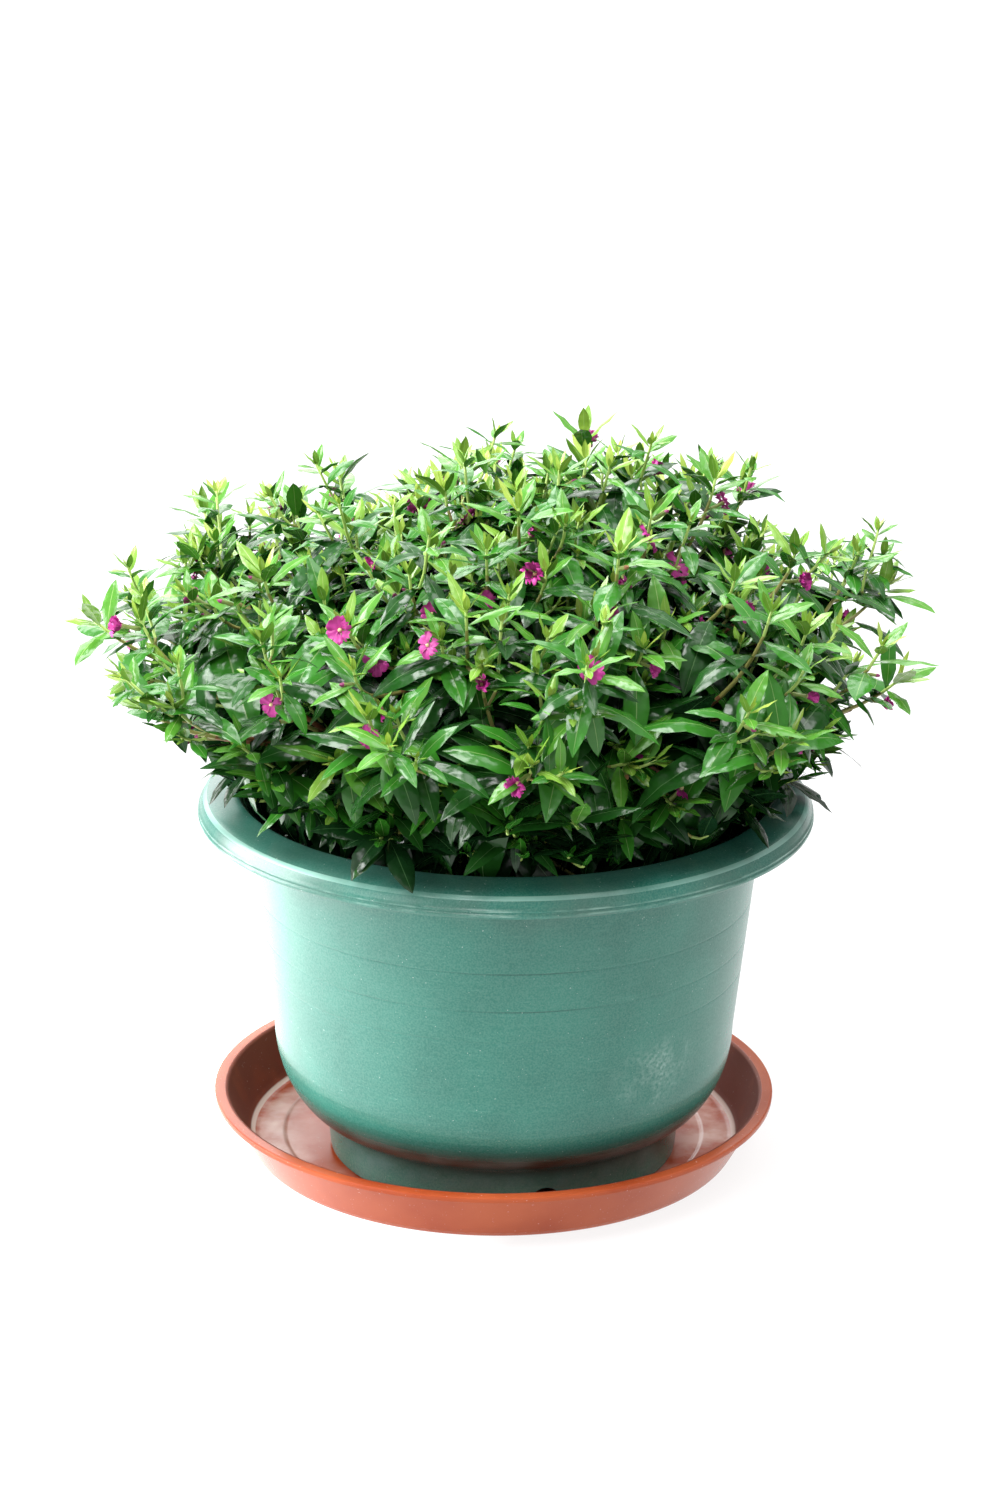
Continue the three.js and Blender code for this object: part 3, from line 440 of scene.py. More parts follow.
# %% Grow the boughs
FOOT_TOP = 114.3
BOUGH_RADIUS, BOUGH_TIP_RADIUS = 2.6, 1.7
BOUGH_SLACKS, SPINE_SLACKS = (0.4, 0.35), (0.3, 0.3)
BOUGH_UPTURN, SPINE_SHARE = 0.25, 0.65
CELL_MARGIN = 0.4
ENTRY_FIRST, ENTRY_LAST, ENTRY_STEP = 0.38, 0.9, 0.02


def grow_bough(site):
    """Adds the site's bough, from the stem to its space, and the spine inside it."""
    tier = site["tier"]
    at_side = tier["slope"] < 90
    stem_radius = between((STEM_RADIUS, STEM_TOP_RADIUS), tier["start"] / STEM_HEIGHT)
    out = stem_radius + GAP + BOUGH_RADIUS * math.sin(math.radians(tier["slope"])) if at_side else 0
    start = heading_vector(site["heading"], 0) * out
    start.z = FOOT_TOP + tier["start"] + (0 if at_side else GAP)
    share = ENTRY_FIRST
    entry = start.lerp(site["middle"], share)
    while share < ENTRY_LAST and depth_in_cell(entry, site) < BOUGH_TIP_RADIUS + CELL_MARGIN:
        share += ENTRY_STEP
        entry = start.lerp(site["middle"], share)
    end_way = ((site["middle"] - entry).normalized() + UP * BOUGH_UPTURN).normalized()
    start_way = heading_vector(site["heading"], tier["slope"])
    site["bough"] = Bend(start, start_way, entry, end_way, *BOUGH_SLACKS)
    inside = entry + end_way * GAP
    site["spine"] = Bend(inside, end_way, inside.lerp(site["middle"], SPINE_SHARE), end_way, *SPINE_SLACKS)


for site in sites:
    grow_bough(site)
print("boughs:", len(sites))

# %% [markdown]
# ## Where the shoots end
# Seen from any side, the crown is a low, squarish dome that stands a little taller on one side. The tips
# of the shoots are spread evenly over that dome, and over a smaller copy inside it. The same rule is used
# twice: with few tips for the main shoots, which the solids have too, and then with many for the finer
# twigs that fork from them.

# %% The crown's dome and the tips on it
CROWN_MIDDLE = 172
CROWN_HALF_WIDTH, CROWN_HALF_DEPTH = 121, 114
CROWN_RISE, CROWN_FALL = 40, 44
CROWN_SQUARENESS = 2.9
CROWN_PEAK, CROWN_PEAK_X, CROWN_PEAK_WIDTH = 17, 31, 50
CROWN_LOWEST, CROWN_SPREAD, CROWN_UNEVENNESS = -0.48, 0.52, 0.13
INNER_REACH, INNER_LOWEST = 0.62, -0.98
GOLDEN_ANGLE = math.pi * (3 - math.sqrt(5))


def crown_point(unit):
    """A point of the dome, for a unit vector from its middle, and the way that the dome faces there."""
    total = sum(abs(part) ** CROWN_SQUARENESS for part in unit)
    point = unit * total ** (-1 / CROWN_SQUARENESS)
    point.x *= CROWN_HALF_WIDTH
    point.y *= CROWN_HALF_DEPTH
    peak = CROWN_PEAK * math.exp(-(((point.x - CROWN_PEAK_X) / CROWN_PEAK_WIDTH) ** 4))
    height = CROWN_RISE + peak if unit.z > 0 else CROWN_FALL
    point.z *= height
    way = Vector((unit.x / CROWN_HALF_WIDTH, unit.y / CROWN_HALF_DEPTH, unit.z / height))
    return point, way.normalized()


def shoot_tips(count, reach, lowest, draw, uneven=lambda draw: CROWN_UNEVENNESS * draw() * draw()):
    """Tips spread evenly over the dome, or a smaller copy of it, each with the way that it faces."""
    tips = []
    for i in range(count):
        even = 1 - (i + 0.5) / count * (1 - lowest)
        level = math.copysign(abs(even) ** CROWN_SPREAD, even)
        ring = math.sqrt(1 - level * level)
        turn = i * GOLDEN_ANGLE
        point, way = crown_point(Vector((math.cos(turn) * ring, math.sin(turn) * ring, level)))
        tip = point * (reach * (1 - uneven(draw)))
        tips.append((tip + UP * CROWN_MIDDLE, way))
    return tips


# %% [markdown]
# Three more sets of tips fill out the dome. Long, nearly level shoots reach past it at its widest height.
# Low tips make a skirt between the soil and the crown, and a few shoots hang over the pot's lip.

# %% The long, low and draped tips
LONG_TIPS = dict(count=11, heading=172, swing=0.6, slope=12, reach=(124, 134), height=(162, 188),
                 squash=CROWN_HALF_DEPTH / CROWN_HALF_WIDTH)
DRAPED_TIPS = dict(count=14, heading=-121, swing=0.5, slope=-15, reach=(88, 99), height=(136, 146),
                   squash=1)
SKIRT_TIPS, SKIRT_SLOPE = 110, 8
SKIRT_REACH, SKIRT_DEPTH = (40, 92), (119, 145)


def ring_tips(draw, count, heading, swing, slope, reach, height, squash):
    """Tips round the pot's axis, each with a reach and a height drawn from a range."""
    tips = []
    for i in range(count):
        way = heading_vector(heading + 360 / count * (i + swing * draw()), slope)
        out = between(reach, draw())
        tips.append((Vector((way.x * out, way.y * out * squash, between(height, draw()))), way))
    return tips


def skirt_tips(draw):
    """Low tips, spread evenly between the soil and the crown, out to the pot's lip."""
    tips = []
    for i in range(SKIRT_TIPS):
        way = heading_vector(math.degrees(i * GOLDEN_ANGLE), SKIRT_SLOPE)
        out = between(SKIRT_REACH, math.sqrt(draw()))
        tips.append((Vector((way.x * out, way.y * out, between(SKIRT_DEPTH, draw()))), way))
    return tips


# %% [markdown]
# ## Where shoots may run
# Nothing may dip into the soil or through the pot's lip, and the crown's underside slants up past the
# lip, so that the pot's wall shows. A curve that would leave the allowed space is made straighter, or
# else left out.

# %% Keep clear of the pot
POT_MARGIN = 1.2
OVERHANG = 7
POT_SHOULDER = 90
UNDERSIDE_HEIGHT, UNDERSIDE_RISE = 143, 0.75
PATH_SLACKS, PATH_CHECKS = (0.34, 0.17, 0.02), 8


def clear_of_pot(point):
    """True where a point keeps off the soil, the pot's inside and its lip."""
    out = math.hypot(point.x, point.y)
    if out < NECK_RADIUS - POT_WALL - POT_MARGIN:
        return point.z > SOIL_TOP + SOIL_MOUND + POT_MARGIN
    past_lip = out - LIP_RADIUS - POT_MARGIN
    return point.z > POT_TOP + POT_MARGIN or past_lip > 0 and point.z > POT_TOP - OVERHANG + past_lip


def in_crown(point):
    """True where a point is clear of the pot and not under the crown."""
    out = math.hypot(point.x, point.y)
    underside = UNDERSIDE_HEIGHT + (out - LIP_RADIUS) * (UNDERSIDE_RISE if out > LIP_RADIUS else 1)
    return clear_of_pot(point) and (out < POT_SHOULDER or point.z > underside)


def clear_path(start, start_way, tip, tip_way, allowed):
    """The first of a few ever straighter curves that keeps to the allowed space, or None."""
    for slack in PATH_SLACKS:
        path = Bend(start, start_way, tip, tip_way, slack, slack)
        if all(allowed(path.point(i / PATH_CHECKS)) for i in range(2, PATH_CHECKS + 1)):
            return path
    return None


# %% [markdown]
# ## Main shoots and the twigs that fork from them
# Each main shoot leaves its mass's spine and runs to a tip of the coarse set. Each tip of the fine set
# then gets a twig, which forks from the main shoot of its mass that ends nearest, at the place that gives
# the twig a natural length. Both follow their parent a little before they turn, and end facing out of the
# crown and up to the light.

# %% Grow the shoots
MAIN_TIPS, INNER_MAIN_TIPS = 46, 20
SPINE_STARTS = (0.06, 0.96)
FOLLOW = {"main": 0.25, "fine": 0.35}
TIP_GROWTH = {"main": 5, "fine": 0}
TIP_OUT, TIP_UP = 0.75, 0.6


def grow_shoot(kind, site, parent, share, tip, way, draw, allowed=in_crown):
    """A shoot from a share of the parent curve to a tip, or None where none keeps to the allowed space."""
    start = parent.point(share)
    start_way = (tip - start).normalized().lerp(parent.way(share), FOLLOW[kind]).normalized()
    tip_way = (way * TIP_OUT + UP * TIP_UP).normalized()
    path = clear_path(start, start_way, tip + way * TIP_GROWTH[kind], tip_way, allowed)
    if path is None:
        return None
    return dict(path=path, site=site, turn=draw() * math.pi, kind=kind, allowed=allowed)


def grow_main_shoots(site, tips, draw):
    """The mass's shoots, from places along its spine to its own tips."""
    own = [(tip, way) for tip, way in tips if owner(tip) is site]
    shoots = []
    for i, (tip, way) in enumerate(own):
        share = between(SPINE_STARTS, (i + 0.5) / len(own))
        shoots.append(grow_shoot("main", site, site["spine"], share, tip, way, draw))
    return [shoot for shoot in shoots if shoot is not None]


draw = random_run(SEED)
main_tips = shoot_tips(MAIN_TIPS, 1, CROWN_LOWEST, draw)
main_tips += shoot_tips(INNER_MAIN_TIPS, INNER_REACH, INNER_LOWEST, draw)
main_tips += ring_tips(draw, **LONG_TIPS)
draw = random_run(SEED + 1)
for site in sites:
    site["shoots"] = grow_main_shoots(site, main_tips, draw)
main_shoots = [shoot for site in sites for shoot in site["shoots"]]
print("main shoots:", len(main_shoots))

# %% Fork the twigs
FINE_TIPS, INNER_FINE_TIPS = 138, 70
FINE_UNEVENNESS = 0.32
FORK_SHARES = [0.25 + 0.05 * i for i in range(11)]
TWIG_LENGTH = 58


def grow_twig(tip, way, draw, allowed=in_crown):
    """A finer twig to a tip, from the nearest main shoot of the mass that owns the tip."""
    site = owner(tip)
    parent = min(site["shoots"], key=lambda shoot: (shoot["path"].point(1) - tip).length)["path"]
    share = min(FORK_SHARES, key=lambda fork: abs((parent.point(fork) - tip).length - TWIG_LENGTH))
    return grow_shoot("fine", site, parent, share, tip, way, draw, allowed)


draw = random_run(SEED + 2)
fine_tips = shoot_tips(FINE_TIPS, 1, CROWN_LOWEST, draw, lambda draw: FINE_UNEVENNESS * draw())
fine_tips += shoot_tips(INNER_FINE_TIPS, INNER_REACH, INNER_LOWEST, draw)
fine_tips += skirt_tips(draw)
twigs = [grow_twig(tip, way, draw) for tip, way in fine_tips]
twigs += [grow_twig(tip, way, draw, clear_of_pot) for tip, way in ring_tips(draw, **DRAPED_TIPS)]
twigs = [twig for twig in twigs if twig is not None]
print("twigs:", len(twigs))

# %% [markdown]
# ## Leaves: how they change along a shoot
# Heather leaves stand in pairs. At the tip they are tiny, upright and close together, like a bud. Further
# back they are longer, wider spaced and more level, and their ends droop. Whatever way a shoot points,
# its leaves twist on their stalks until their upper faces look up. Old leaves, and those deep in the
# crown or low down, are the darkest. For those deep in the crown or low down the darker tint is painted
# shade.

# %% Leaves by age and place
# Counted in pairs back from the tip, and the last values go on
LEAF_LENGTHS = (6, 10, 14, 18, 22, 26, 29, 31, 32, 32)
PAIR_GAPS = (0.6, 1.0, 1.7, 3.0, 5.2, 8.2, 10.5, 12, 12.5, 12.5)
LEAF_ANGLES = (14, 28, 42, 55, 64, 72, 78, 82, 85, 87)
LEAF_DROOPS = (0.05, 0.15, 0.4, 0.6, 0.8, 0.95, 1.05, 1.1, 1.2, 1.2)
FACE_UP, FACE_ALONG, FACE_OUT = 0.9, 0.45, 0.15
TINTS = ("deep", "dark", "mid", "fresh", "young", "tip")
TINT_AGE, TINT_PAINTED_SHADE, TINT_SPREAD, OLD_PAIR = 0.76, 3.0, 1.2, 5
SHADE_HEIGHT, SHADE_DEPTH = 160, 26
SHADE_REACH, SHADE_STEEPNESS = 0.82, 2.4


def vary(draw, spread):
    """A factor near 1."""
    return 1 + spread * (draw() - 0.5)


def leaf_face(way, along, outward):
    """The way that a leaf's upper face looks: up to the light, as far as its own direction lets it."""
    wish = UP * FACE_UP + along * FACE_ALONG + outward * FACE_OUT
    return (wish - way * wish.dot(way)).normalized()


def depth_of(point):
    """0 out in the light, towards 1 deep inside the crown or low down."""
    place = point - UP * CROWN_MIDDLE
    reach = math.hypot(place.x / CROWN_HALF_WIDTH, place.y / CROWN_HALF_DEPTH, place.z / CROWN_RISE)
    low = (SHADE_HEIGHT - CROWN_MIDDLE - place.z) / SHADE_DEPTH
    return max(0, min(1, max(SHADE_STEEPNESS * (SHADE_REACH - reach), low)))


def leaf_tint(age, depth, draw):
    """An index into TINTS."""
    youngest = len(TINTS) - 1
    # Leaves deep in the crown or low down take darker tints: this is painted shade
    level = youngest - TINT_AGE * min(age, OLD_PAIR) - TINT_PAINTED_SHADE * depth + TINT_SPREAD * (draw() - 0.5)
    return max(0, min(youngest, round(level)))


def leaf_end(leaf, share):
    """A point along the middle of a leaf, with its droop."""
    bend = leaf["droop"] * share
    length = leaf["length"] * share
    along = math.sin(bend) / bend if bend > 1e-3 else 1
    down = (1 - math.cos(bend)) / bend if bend > 1e-3 else 0
    return leaf["root"] + leaf["way"] * (along * length) - leaf["face"] * (down * length)


# %% Add one leaf
LEAF_WIDTH_SHARE = 0.305
LEAF_SCALE = {"main": 1.1, "fine": 1.0, "sprig": 0.7}
LOW_SHOOT_HEIGHT, LOW_SHOOT_FADE, LOW_SHOOT_GROWTH = 185, 30, 0.22
ANGLE_SPREAD, LENGTH_SPREAD, DROOP_SPREAD, WIDTH_SPREAD, TWIST_SPREAD = 0.3, 0.34, 0.9, 0.24, 0.7
FOLDS = (0.12, 0.62)
SWINGS_AND_SHRINKS = ((0, 1), (0.5, 0.95), (-0.5, 0.95), (0.9, 0.8), (-0.9, 0.8), (0, 0.6))


def add_leaf(leaves, shoot, root, along, turn, age, draw):
    """Adds one leaf at a place on a shoot, in the first of a few positions that keeps off the pot."""
    step = min(age, len(LEAF_LENGTHS) - 1)
    angle = math.radians(LEAF_ANGLES[step] * vary(draw, ANGLE_SPREAD))
    low = max(0, min(1, (LOW_SHOOT_HEIGHT - root.z) / LOW_SHOOT_FADE))
    scale = LEAF_SCALE[shoot["kind"]] * (1 + LOW_SHOOT_GROWTH * low)
    full_length = LEAF_LENGTHS[step] * scale * vary(draw, LENGTH_SPREAD)
    droop = LEAF_DROOPS[step] * vary(draw, DROOP_SPREAD)
    tint = leaf_tint(age, depth_of(root), draw)
    for swing, shrink in SWINGS_AND_SHRINKS:
        side = across(along, turn + swing)
        way = along * math.cos(angle) + side * math.sin(angle)
        length = full_length * shrink
        leaf = dict(root=root, way=way, face=leaf_face(way, along, side), length=length, droop=droop,
                    width=length * LEAF_WIDTH_SHARE * vary(draw, WIDTH_SPREAD),
                    twist=TWIST_SPREAD * (draw() - 0.5), fold=between(FOLDS, draw() ** 2), wave=draw(),
                    tint=tint, site=shoot["site"]["name"])
        if shoot["allowed"](leaf_end(leaf, 0.5)) and shoot["allowed"](leaf_end(leaf, 1)):
            leaves.append(leaf)
            return


# %% [markdown]
# ## Leaves: where they sit
# Each pair is turned a quarter round the shoot from the last, and here and there a leaf is lost. Some of
# the larger leaves have a short sprig of small leaves in the angle between leaf and shoot.

# %% Dress the shoots with leaves
LEAFY_SHARE = {"main": 0.72, "fine": 0.86, "sprig": 0.9}
GAP_SCALE = {"main": 1, "fine": 1, "sprig": 0.7}
GAP_SPREAD, TURN_SPREAD = 0.3, 0.3
LEAF_LOSS, LOSS_FROM_AGE = 0.06, 4
SPRIG_CHANCE, SPRIG_FROM_AGE = 0.12, 3
SPRIG_LENGTHS, SPRIG_SLACK = (12, 26), 0.3


def add_sprig(sprigs, shoot, root, along, side, draw):
    """Adds a sprig between a leaf and its shoot, unless it would meet the pot."""
    reach = between(SPRIG_LENGTHS, draw())
    end_way = (side * 0.5 + along * 0.6 + UP * 0.5).normalized()
    end = root + (side * 0.55 + along * 0.6 + UP * 0.3) * reach
    if shoot["allowed"](end):
        path = Bend(root, side, end, end_way, SPRIG_SLACK, SPRIG_SLACK)
        sprigs.append({**shoot, "path": path, "turn": draw() * math.pi, "kind": "sprig"})


def dress_shoot(leaves, sprigs, shoot, draw):
    """Adds a shoot's pairs of leaves, from its tip back, and notes where sprigs and flowers can grow."""
    path, kind = shoot["path"], shoot["kind"]
    length = path.length()
    shoot["nodes"] = []
    age = 0
    back = PAIR_GAPS[0] * vary(draw, GAP_SPREAD) * GAP_SCALE[kind]
    while back <= length * LEAFY_SHARE[kind]:
        share = 1 - back / length
        root, along = path.point(share), path.way(share)
        turn = shoot["turn"] + age * math.pi / 2 + TURN_SPREAD * (draw() - 0.5)
        shoot["nodes"].append(dict(place=root, along=along, age=age))
        for half in (0, math.pi):
            if age >= LOSS_FROM_AGE and draw() < LEAF_LOSS:
                continue
            add_leaf(leaves, shoot, root, along, turn + half, age, draw)
            if kind != "sprig" and age >= SPRIG_FROM_AGE and draw() < SPRIG_CHANCE:
                add_sprig(sprigs, shoot, root, along, across(along, turn + half), draw)
        age += 1
        back += PAIR_GAPS[min(age, len(PAIR_GAPS) - 1)] * vary(draw, GAP_SPREAD) * GAP_SCALE[kind]


leaves, sprigs = [], []
draw = random_run(SEED + 3)
for shoot in main_shoots + twigs:
    dress_shoot(leaves, sprigs, shoot, draw)
for sprig in sprigs:
    dress_shoot(leaves, [], sprig, draw)
print("leaves:", len(leaves), "sprigs:", len(sprigs))

# %% [markdown]
# ## Leaves: their shape
# A leaf blade is lance-shaped, folded a little along its pale midrib, with halves that bulge and roll
# down at the edge, so that it catches the light in two long streaks. Thousands of objects would be slow,
# so all leaves of a group are worked out at once as arrays of numbers and become one mesh. A narrow strip
# down the middle of each has its own material, because a pattern would be lost on so small a thing.

# %% Leaves as arrays of vertices
ROW_SHARES = np.array([0, 0.07, 0.19, 0.35, 0.53, 0.72, 0.88, 1.0])
ROW_WIDTHS = np.array([0.1, 0.2, 0.62, 0.93, 1.0, 0.8, 0.43, 0.03])
RIB_HALF_WIDTH = 0.036
COLUMNS = np.array([-1, -0.55, -RIB_HALF_WIDTH, RIB_HALF_WIDTH, 0.55, 1])
BULGE = 0.36
RIPPLE, RIPPLE_WAVES = 0.13, 2.4


def leaf_places(records):
    """Every vertex of every leaf: leaf, row along it, column across it, then x, y and z in millimetres."""
    keys = ("root", "way", "face", "length", "width", "droop", "twist", "fold", "wave")
    root, way, face, length, width, droop, twist, fold, wave = (
        np.array([record[key] for record in records], float)[:, None] for key in keys)
    side = np.cross(way, face)
    bend = np.maximum(droop * ROW_SHARES, 1e-3)
    along = np.sin(bend) / bend * ROW_SHARES * length
    down = (1 - np.cos(bend)) / bend * ROW_SHARES * length
    spine = root + way * along[..., None] - face * down[..., None]
    up_here = face * np.cos(bend)[..., None] + way * np.sin(bend)[..., None]
    turn = (twist * ROW_SHARES)[..., None]
    side_here = side * np.cos(turn) + up_here * np.sin(turn)
    up_here = up_here * np.cos(turn) - side * np.sin(turn)
    half = (ROW_WIDTHS * width / 2)[..., None]
    ripple = RIPPLE * np.sin(math.tau * (RIPPLE_WAVES * ROW_SHARES + wave))[..., None] * COLUMNS**2
    aside = (half * COLUMNS)[..., None]
    lift = (half * (fold[..., None] * np.abs(COLUMNS) - BULGE * COLUMNS**2 + ripple))[..., None]
    return spine[:, :, None] + side_here[:, :, None] * aside + up_here[:, :, None] * lift


# %% A helper that makes a mesh from arrays
def grid_faces(count, rows, columns):
    """The quads of many separate grids of vertices, each rows by columns, facing up."""
    corner = np.arange(rows * columns).reshape(rows, columns)
    quads = np.stack([corner[:-1, :-1], corner[:-1, 1:], corner[1:, 1:], corner[1:, :-1]], -1)
    return (quads.reshape(-1, 4) + (np.arange(count) * rows * columns)[:, None, None]).reshape(-1, 4)


def mesh_from_arrays(name, places, quads, face_materials, materials):
    """One smooth mesh from quads and their vertices, in millimetres from the pot's axis."""
    mesh = bpy.data.meshes.new(name)
    places = places.reshape(-1, 3) * MM + np.array(pot_centre)
    mesh.vertices.add(len(places))
    mesh.vertices.foreach_set("co", places.astype(np.float32).ravel())
    mesh.loops.add(quads.size)
    mesh.loops.foreach_set("vertex_index", quads.astype(np.int32).ravel())
    mesh.polygons.add(len(quads))
    mesh.polygons.foreach_set("loop_start", np.arange(0, quads.size, 4, dtype=np.int32))
    mesh.polygons.foreach_set("material_index", face_materials.astype(np.int32))
    mesh.polygons.foreach_set("use_smooth", np.ones(len(quads), bool))
    for material in materials:
        mesh.materials.append(material)
    mesh.update(calc_edges=True)
    mesh.validate()
    piece = bpy.data.objects.new(name, mesh)
    bpy.context.scene.collection.objects.link(piece)
    print(name, "faces:", len(quads))
    return piece


# %% [markdown]
# ## Leaf colours
# A heather leaf is a waxy skin over green flesh, puckered between its veins, so its highlights are white
# and broken up. Old leaves are dark, those outside are a middle green, and the youngest are yellow-green.
# Leaves inside the crown or low down take darker tints, as painted shade. Each leaf takes one plain colour
# for its age and its depth in the crown, and its midrib a paler one. Real puckers are about 1 mm across,
# too fine to show here, so they are drawn about three times as wide.

# %% Leaf materials
# The colour of the blade and that of the midrib
LEAF_COLOURS = {
    "deep": ("102f14", "33552f"),
    "dark": ("1a4816", "45693a"),
    "mid": ("2b691b", "658949"),
    "fresh": ("488128", "829f58"),
    "young": ("709938", "9bb266"),
    "tip": ("99b24c", "b0c47a"),
}
BLADE_ROUGHNESS, RIB_ROUGHNESS, WAX_IOR = 0.22, 0.3, 1.43
PUCKER_SIZE, PUCKER_DEPTH, PUCKER_DETAIL, PUCKER_STRENGTH = 3.2, 1.0, 0.5, 0.5


def place_in_millimetres(tree):
    """The place on the piece in millimetres, for patterns that have real sizes."""
    place = add_node(tree, "ShaderNodeTexCoord").outputs["Object"]
    scaled = add_node(tree, "ShaderNodeVectorMath", {0: place, "Scale": 1 / MM}, operation="SCALE")
    return scaled.outputs["Vector"]


def waxy_leaf(name, colour, roughness):
    """A glossy leaf, puckered between its veins."""
    material, surface = new_material(name, colour, roughness, WAX_IOR)
    tree = material.node_tree
    puckers = add_node(tree, "ShaderNodeTexNoise", {
        "Vector": place_in_millimetres(tree), "Scale": 1 / PUCKER_SIZE, "Detail": PUCKER_DETAIL})
    bumps = add_node(tree, "ShaderNodeBump", {
        "Height": puckers.outputs["Fac"], "Strength": PUCKER_STRENGTH, "Distance": PUCKER_DEPTH * MM})
    tree.links.new(bumps.outputs["Normal"], surface.inputs["Normal"])
    return material


leaf_materials = [waxy_leaf("waxy_leaf_" + tint, LEAF_COLOURS[tint][0], BLADE_ROUGHNESS) for tint in TINTS]
leaf_materials += [waxy_leaf("leaf_rib_" + tint, LEAF_COLOURS[tint][1], RIB_ROUGHNESS) for tint in TINTS]
print("leaf materials:", len(leaf_materials))

# %% Make the leaves
MASSES_PER_PIECE = 3


def make_leaves(name, records):
    """One piece of leaves, each face with the leaf's own tint or, down its middle, the rib's."""
    rows, columns = len(ROW_SHARES), len(COLUMNS)
    tint = np.array([record["tint"] for record in records])
    in_rib = np.zeros((rows - 1, columns - 1), int)
    in_rib[:, columns // 2 - 1] = len(TINTS)
    face_materials = (tint[:, None, None] + in_rib).reshape(-1)
    quads = grid_faces(len(records), rows, columns)
    return mesh_from_arrays(name, leaf_places(records), quads, face_materials, leaf_materials)


for tier in TIERS:
    names = [site["name"] for site in sites if site["tier"] is tier]
    parts = [names[first:first + MASSES_PER_PIECE] for first in range(0, len(names), MASSES_PER_PIECE)]
    for i, part in enumerate(parts):
        records = [leaf for leaf in leaves if leaf["site"] in part]
        piece = make_leaves(f"leaves_{tier['name']}_{i + 1}", records)
        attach(piece, "root")
        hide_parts(*["mass_" + name for name in part])

# %% [markdown]
# ## Wood: tubes along the curves
# All limbs are tubes: rings of vertices carried along a curve. The thicker ones have their rings pushed
# in and out by a noise that is stretched along the limb, as bark is. A tube can change its material along
# its length.

# %% A helper that makes tubes
BARK_GRAIN, BARK_STRETCH, BARK_SWAY = 1.6, 7, 60
BARK_RELIEF = 0.22
END_POINT = 0.6


def tube(path, radii, sides, steps, relief=0.0, colour_starts=()):
    """The vertices round a curve, closed to a point at both ends, the quads, and each quad's material."""
    rings = [[path.point(0)] * sides]
    hint = UP
    for i in range(steps + 1):
        share = i / steps
        way = path.way(share)
        hint = across(way, 0, hint)
        other = way.cross(hint)
        radius = between(radii, share)
        centre = path.point(share)
        ring = []
        for k in range(sides):
            turn = math.tau * k / sides
            out = hint * math.cos(turn) + other * math.sin(turn)
            grain = Vector((math.cos(turn), math.sin(turn), 0)) * radius / BARK_GRAIN
            grain += UP * share * steps / BARK_STRETCH
            push = relief * noise.fractal(grain + centre / BARK_SWAY, *NOISE_LAYERS) if relief else 0
            ring.append(centre + out * (radius + push))
        rings.append(ring)
    rings.append([path.point(1) + path.way(1) * radii[1] * END_POINT] * sides)
    bands = len(rings) - 1
    quads = []
    for low in range(0, bands * sides, sides):
        for k in range(sides):
            after = (k + 1) % sides
            quads.append((low + k, low + after, low + sides + after, low + sides + k))
    materials = [sum(r / bands > start for start in colour_starts) for r in range(bands)]
    return np.array(rings).reshape(-1, 3), np.array(quads), np.repeat(materials, sides)


def merged(parts):
    """One set of vertices, quads and face materials from several."""
    places, quads, face_materials = zip(*parts)
    starts = np.cumsum([0] + [len(points) for points in places])
    quads = [faces + start for faces, start in zip(quads, starts)]
    return np.concatenate(places), np.concatenate(quads), np.concatenate(face_materials)


def join_tubes(name, tubes, materials):
    """One piece from many tubes."""
    piece = mesh_from_arrays(name, *merged(tubes), materials)
    shell = bmesh.new()
    shell.from_mesh(piece.data)
    bmesh.ops.remove_doubles(shell, verts=shell.verts, dist=0.002 * MM)
    shell.to_mesh(piece.data)
    shell.free()
    return piece


# %% [markdown]
# ## Layers of colour
# Bark, and further down the plastics and the soil, show several colours, one over the other. Each layer
# is a colour and a mask, and the mask is worked from readings of the place on the piece: a height, a
# distance, or a cloud of noise. Each limit on a reading lets the colour through from nothing at one value
# to all of it at another. A chain of Map Range nodes works the limits out, with each result as the next
# one's most.

# %% Helpers that lay colours over each other
def limited(tree, most, *limits):
    """A mask that reaches most where all its limits are met, and is 0 where one is not met at all.

    A limit (reading, start, end) rises as the reading goes from start to end. A limit (place, start, end,
    size, detail) reads a cloud of noise at that place, with lumps about size millimetres wide.
    """
    for reading, start, end, *cloud in limits:
        if cloud:
            size, detail = cloud
            noise_node = add_node(tree, "ShaderNodeTexNoise", {
                "Vector": reading, "Scale": 1 / size, "Detail": detail})
            reading = noise_node.outputs["Fac"]
        mask = add_node(tree, "ShaderNodeMapRange", {
            "Value": reading, "From Min": start, "From Max": end, "To Max": most})
        most = mask.outputs["Result"]
    return most


def near(reading, at, reach, edge=0.02):
    """Two limits that are met within reach of a value, with edges that are 2 * edge wide."""
    return (reading, at - reach - edge, at - reach + edge), (reading, at + reach + edge, at + reach - edge)


def cover(tree, surface, base, layers):
    """Gives a surface a base colour and layers over it, lowest first: (name, colour, most, limit, ...)."""
    shown = linear(base)
    for name, colour, most, *limits in layers:
        shown = add_node(tree, "ShaderNodeMix", {
            "Factor": limited(tree, most, *limits), "A": shown, "B": linear(colour)},
            data_type="RGBA", label=name).outputs["Result"]
    tree.links.new(shown, surface.inputs["Base Color"])


# %% [markdown]
# ## Stem, boughs and twigs
# The foot of the shrub and its boughs are bark: dull and brown, with paler ridges about 3 mm wide that
# run along the limb, and no highlight. Shoots are smooth and a little waxy, so they shine more the
# younger they are. They are brown where they are old, reddish further out and yellow-green at the growing
# end.

# %% Make the stem and the boughs
BARK_BROWN = "3b2519"
bark, surface = new_material("heather_bark", BARK_BROWN, 0.82)
tree = bark.node_tree
place = place_in_millimetres(tree)
stretched = add_node(tree, "ShaderNodeMapping", {"Vector": place, "Scale": (1, 1, 0.35)}).outputs["Vector"]
cover(tree, surface, BARK_BROWN, [("ridges", "8a6446", 1, (stretched, 0, 1, 3, 5))])

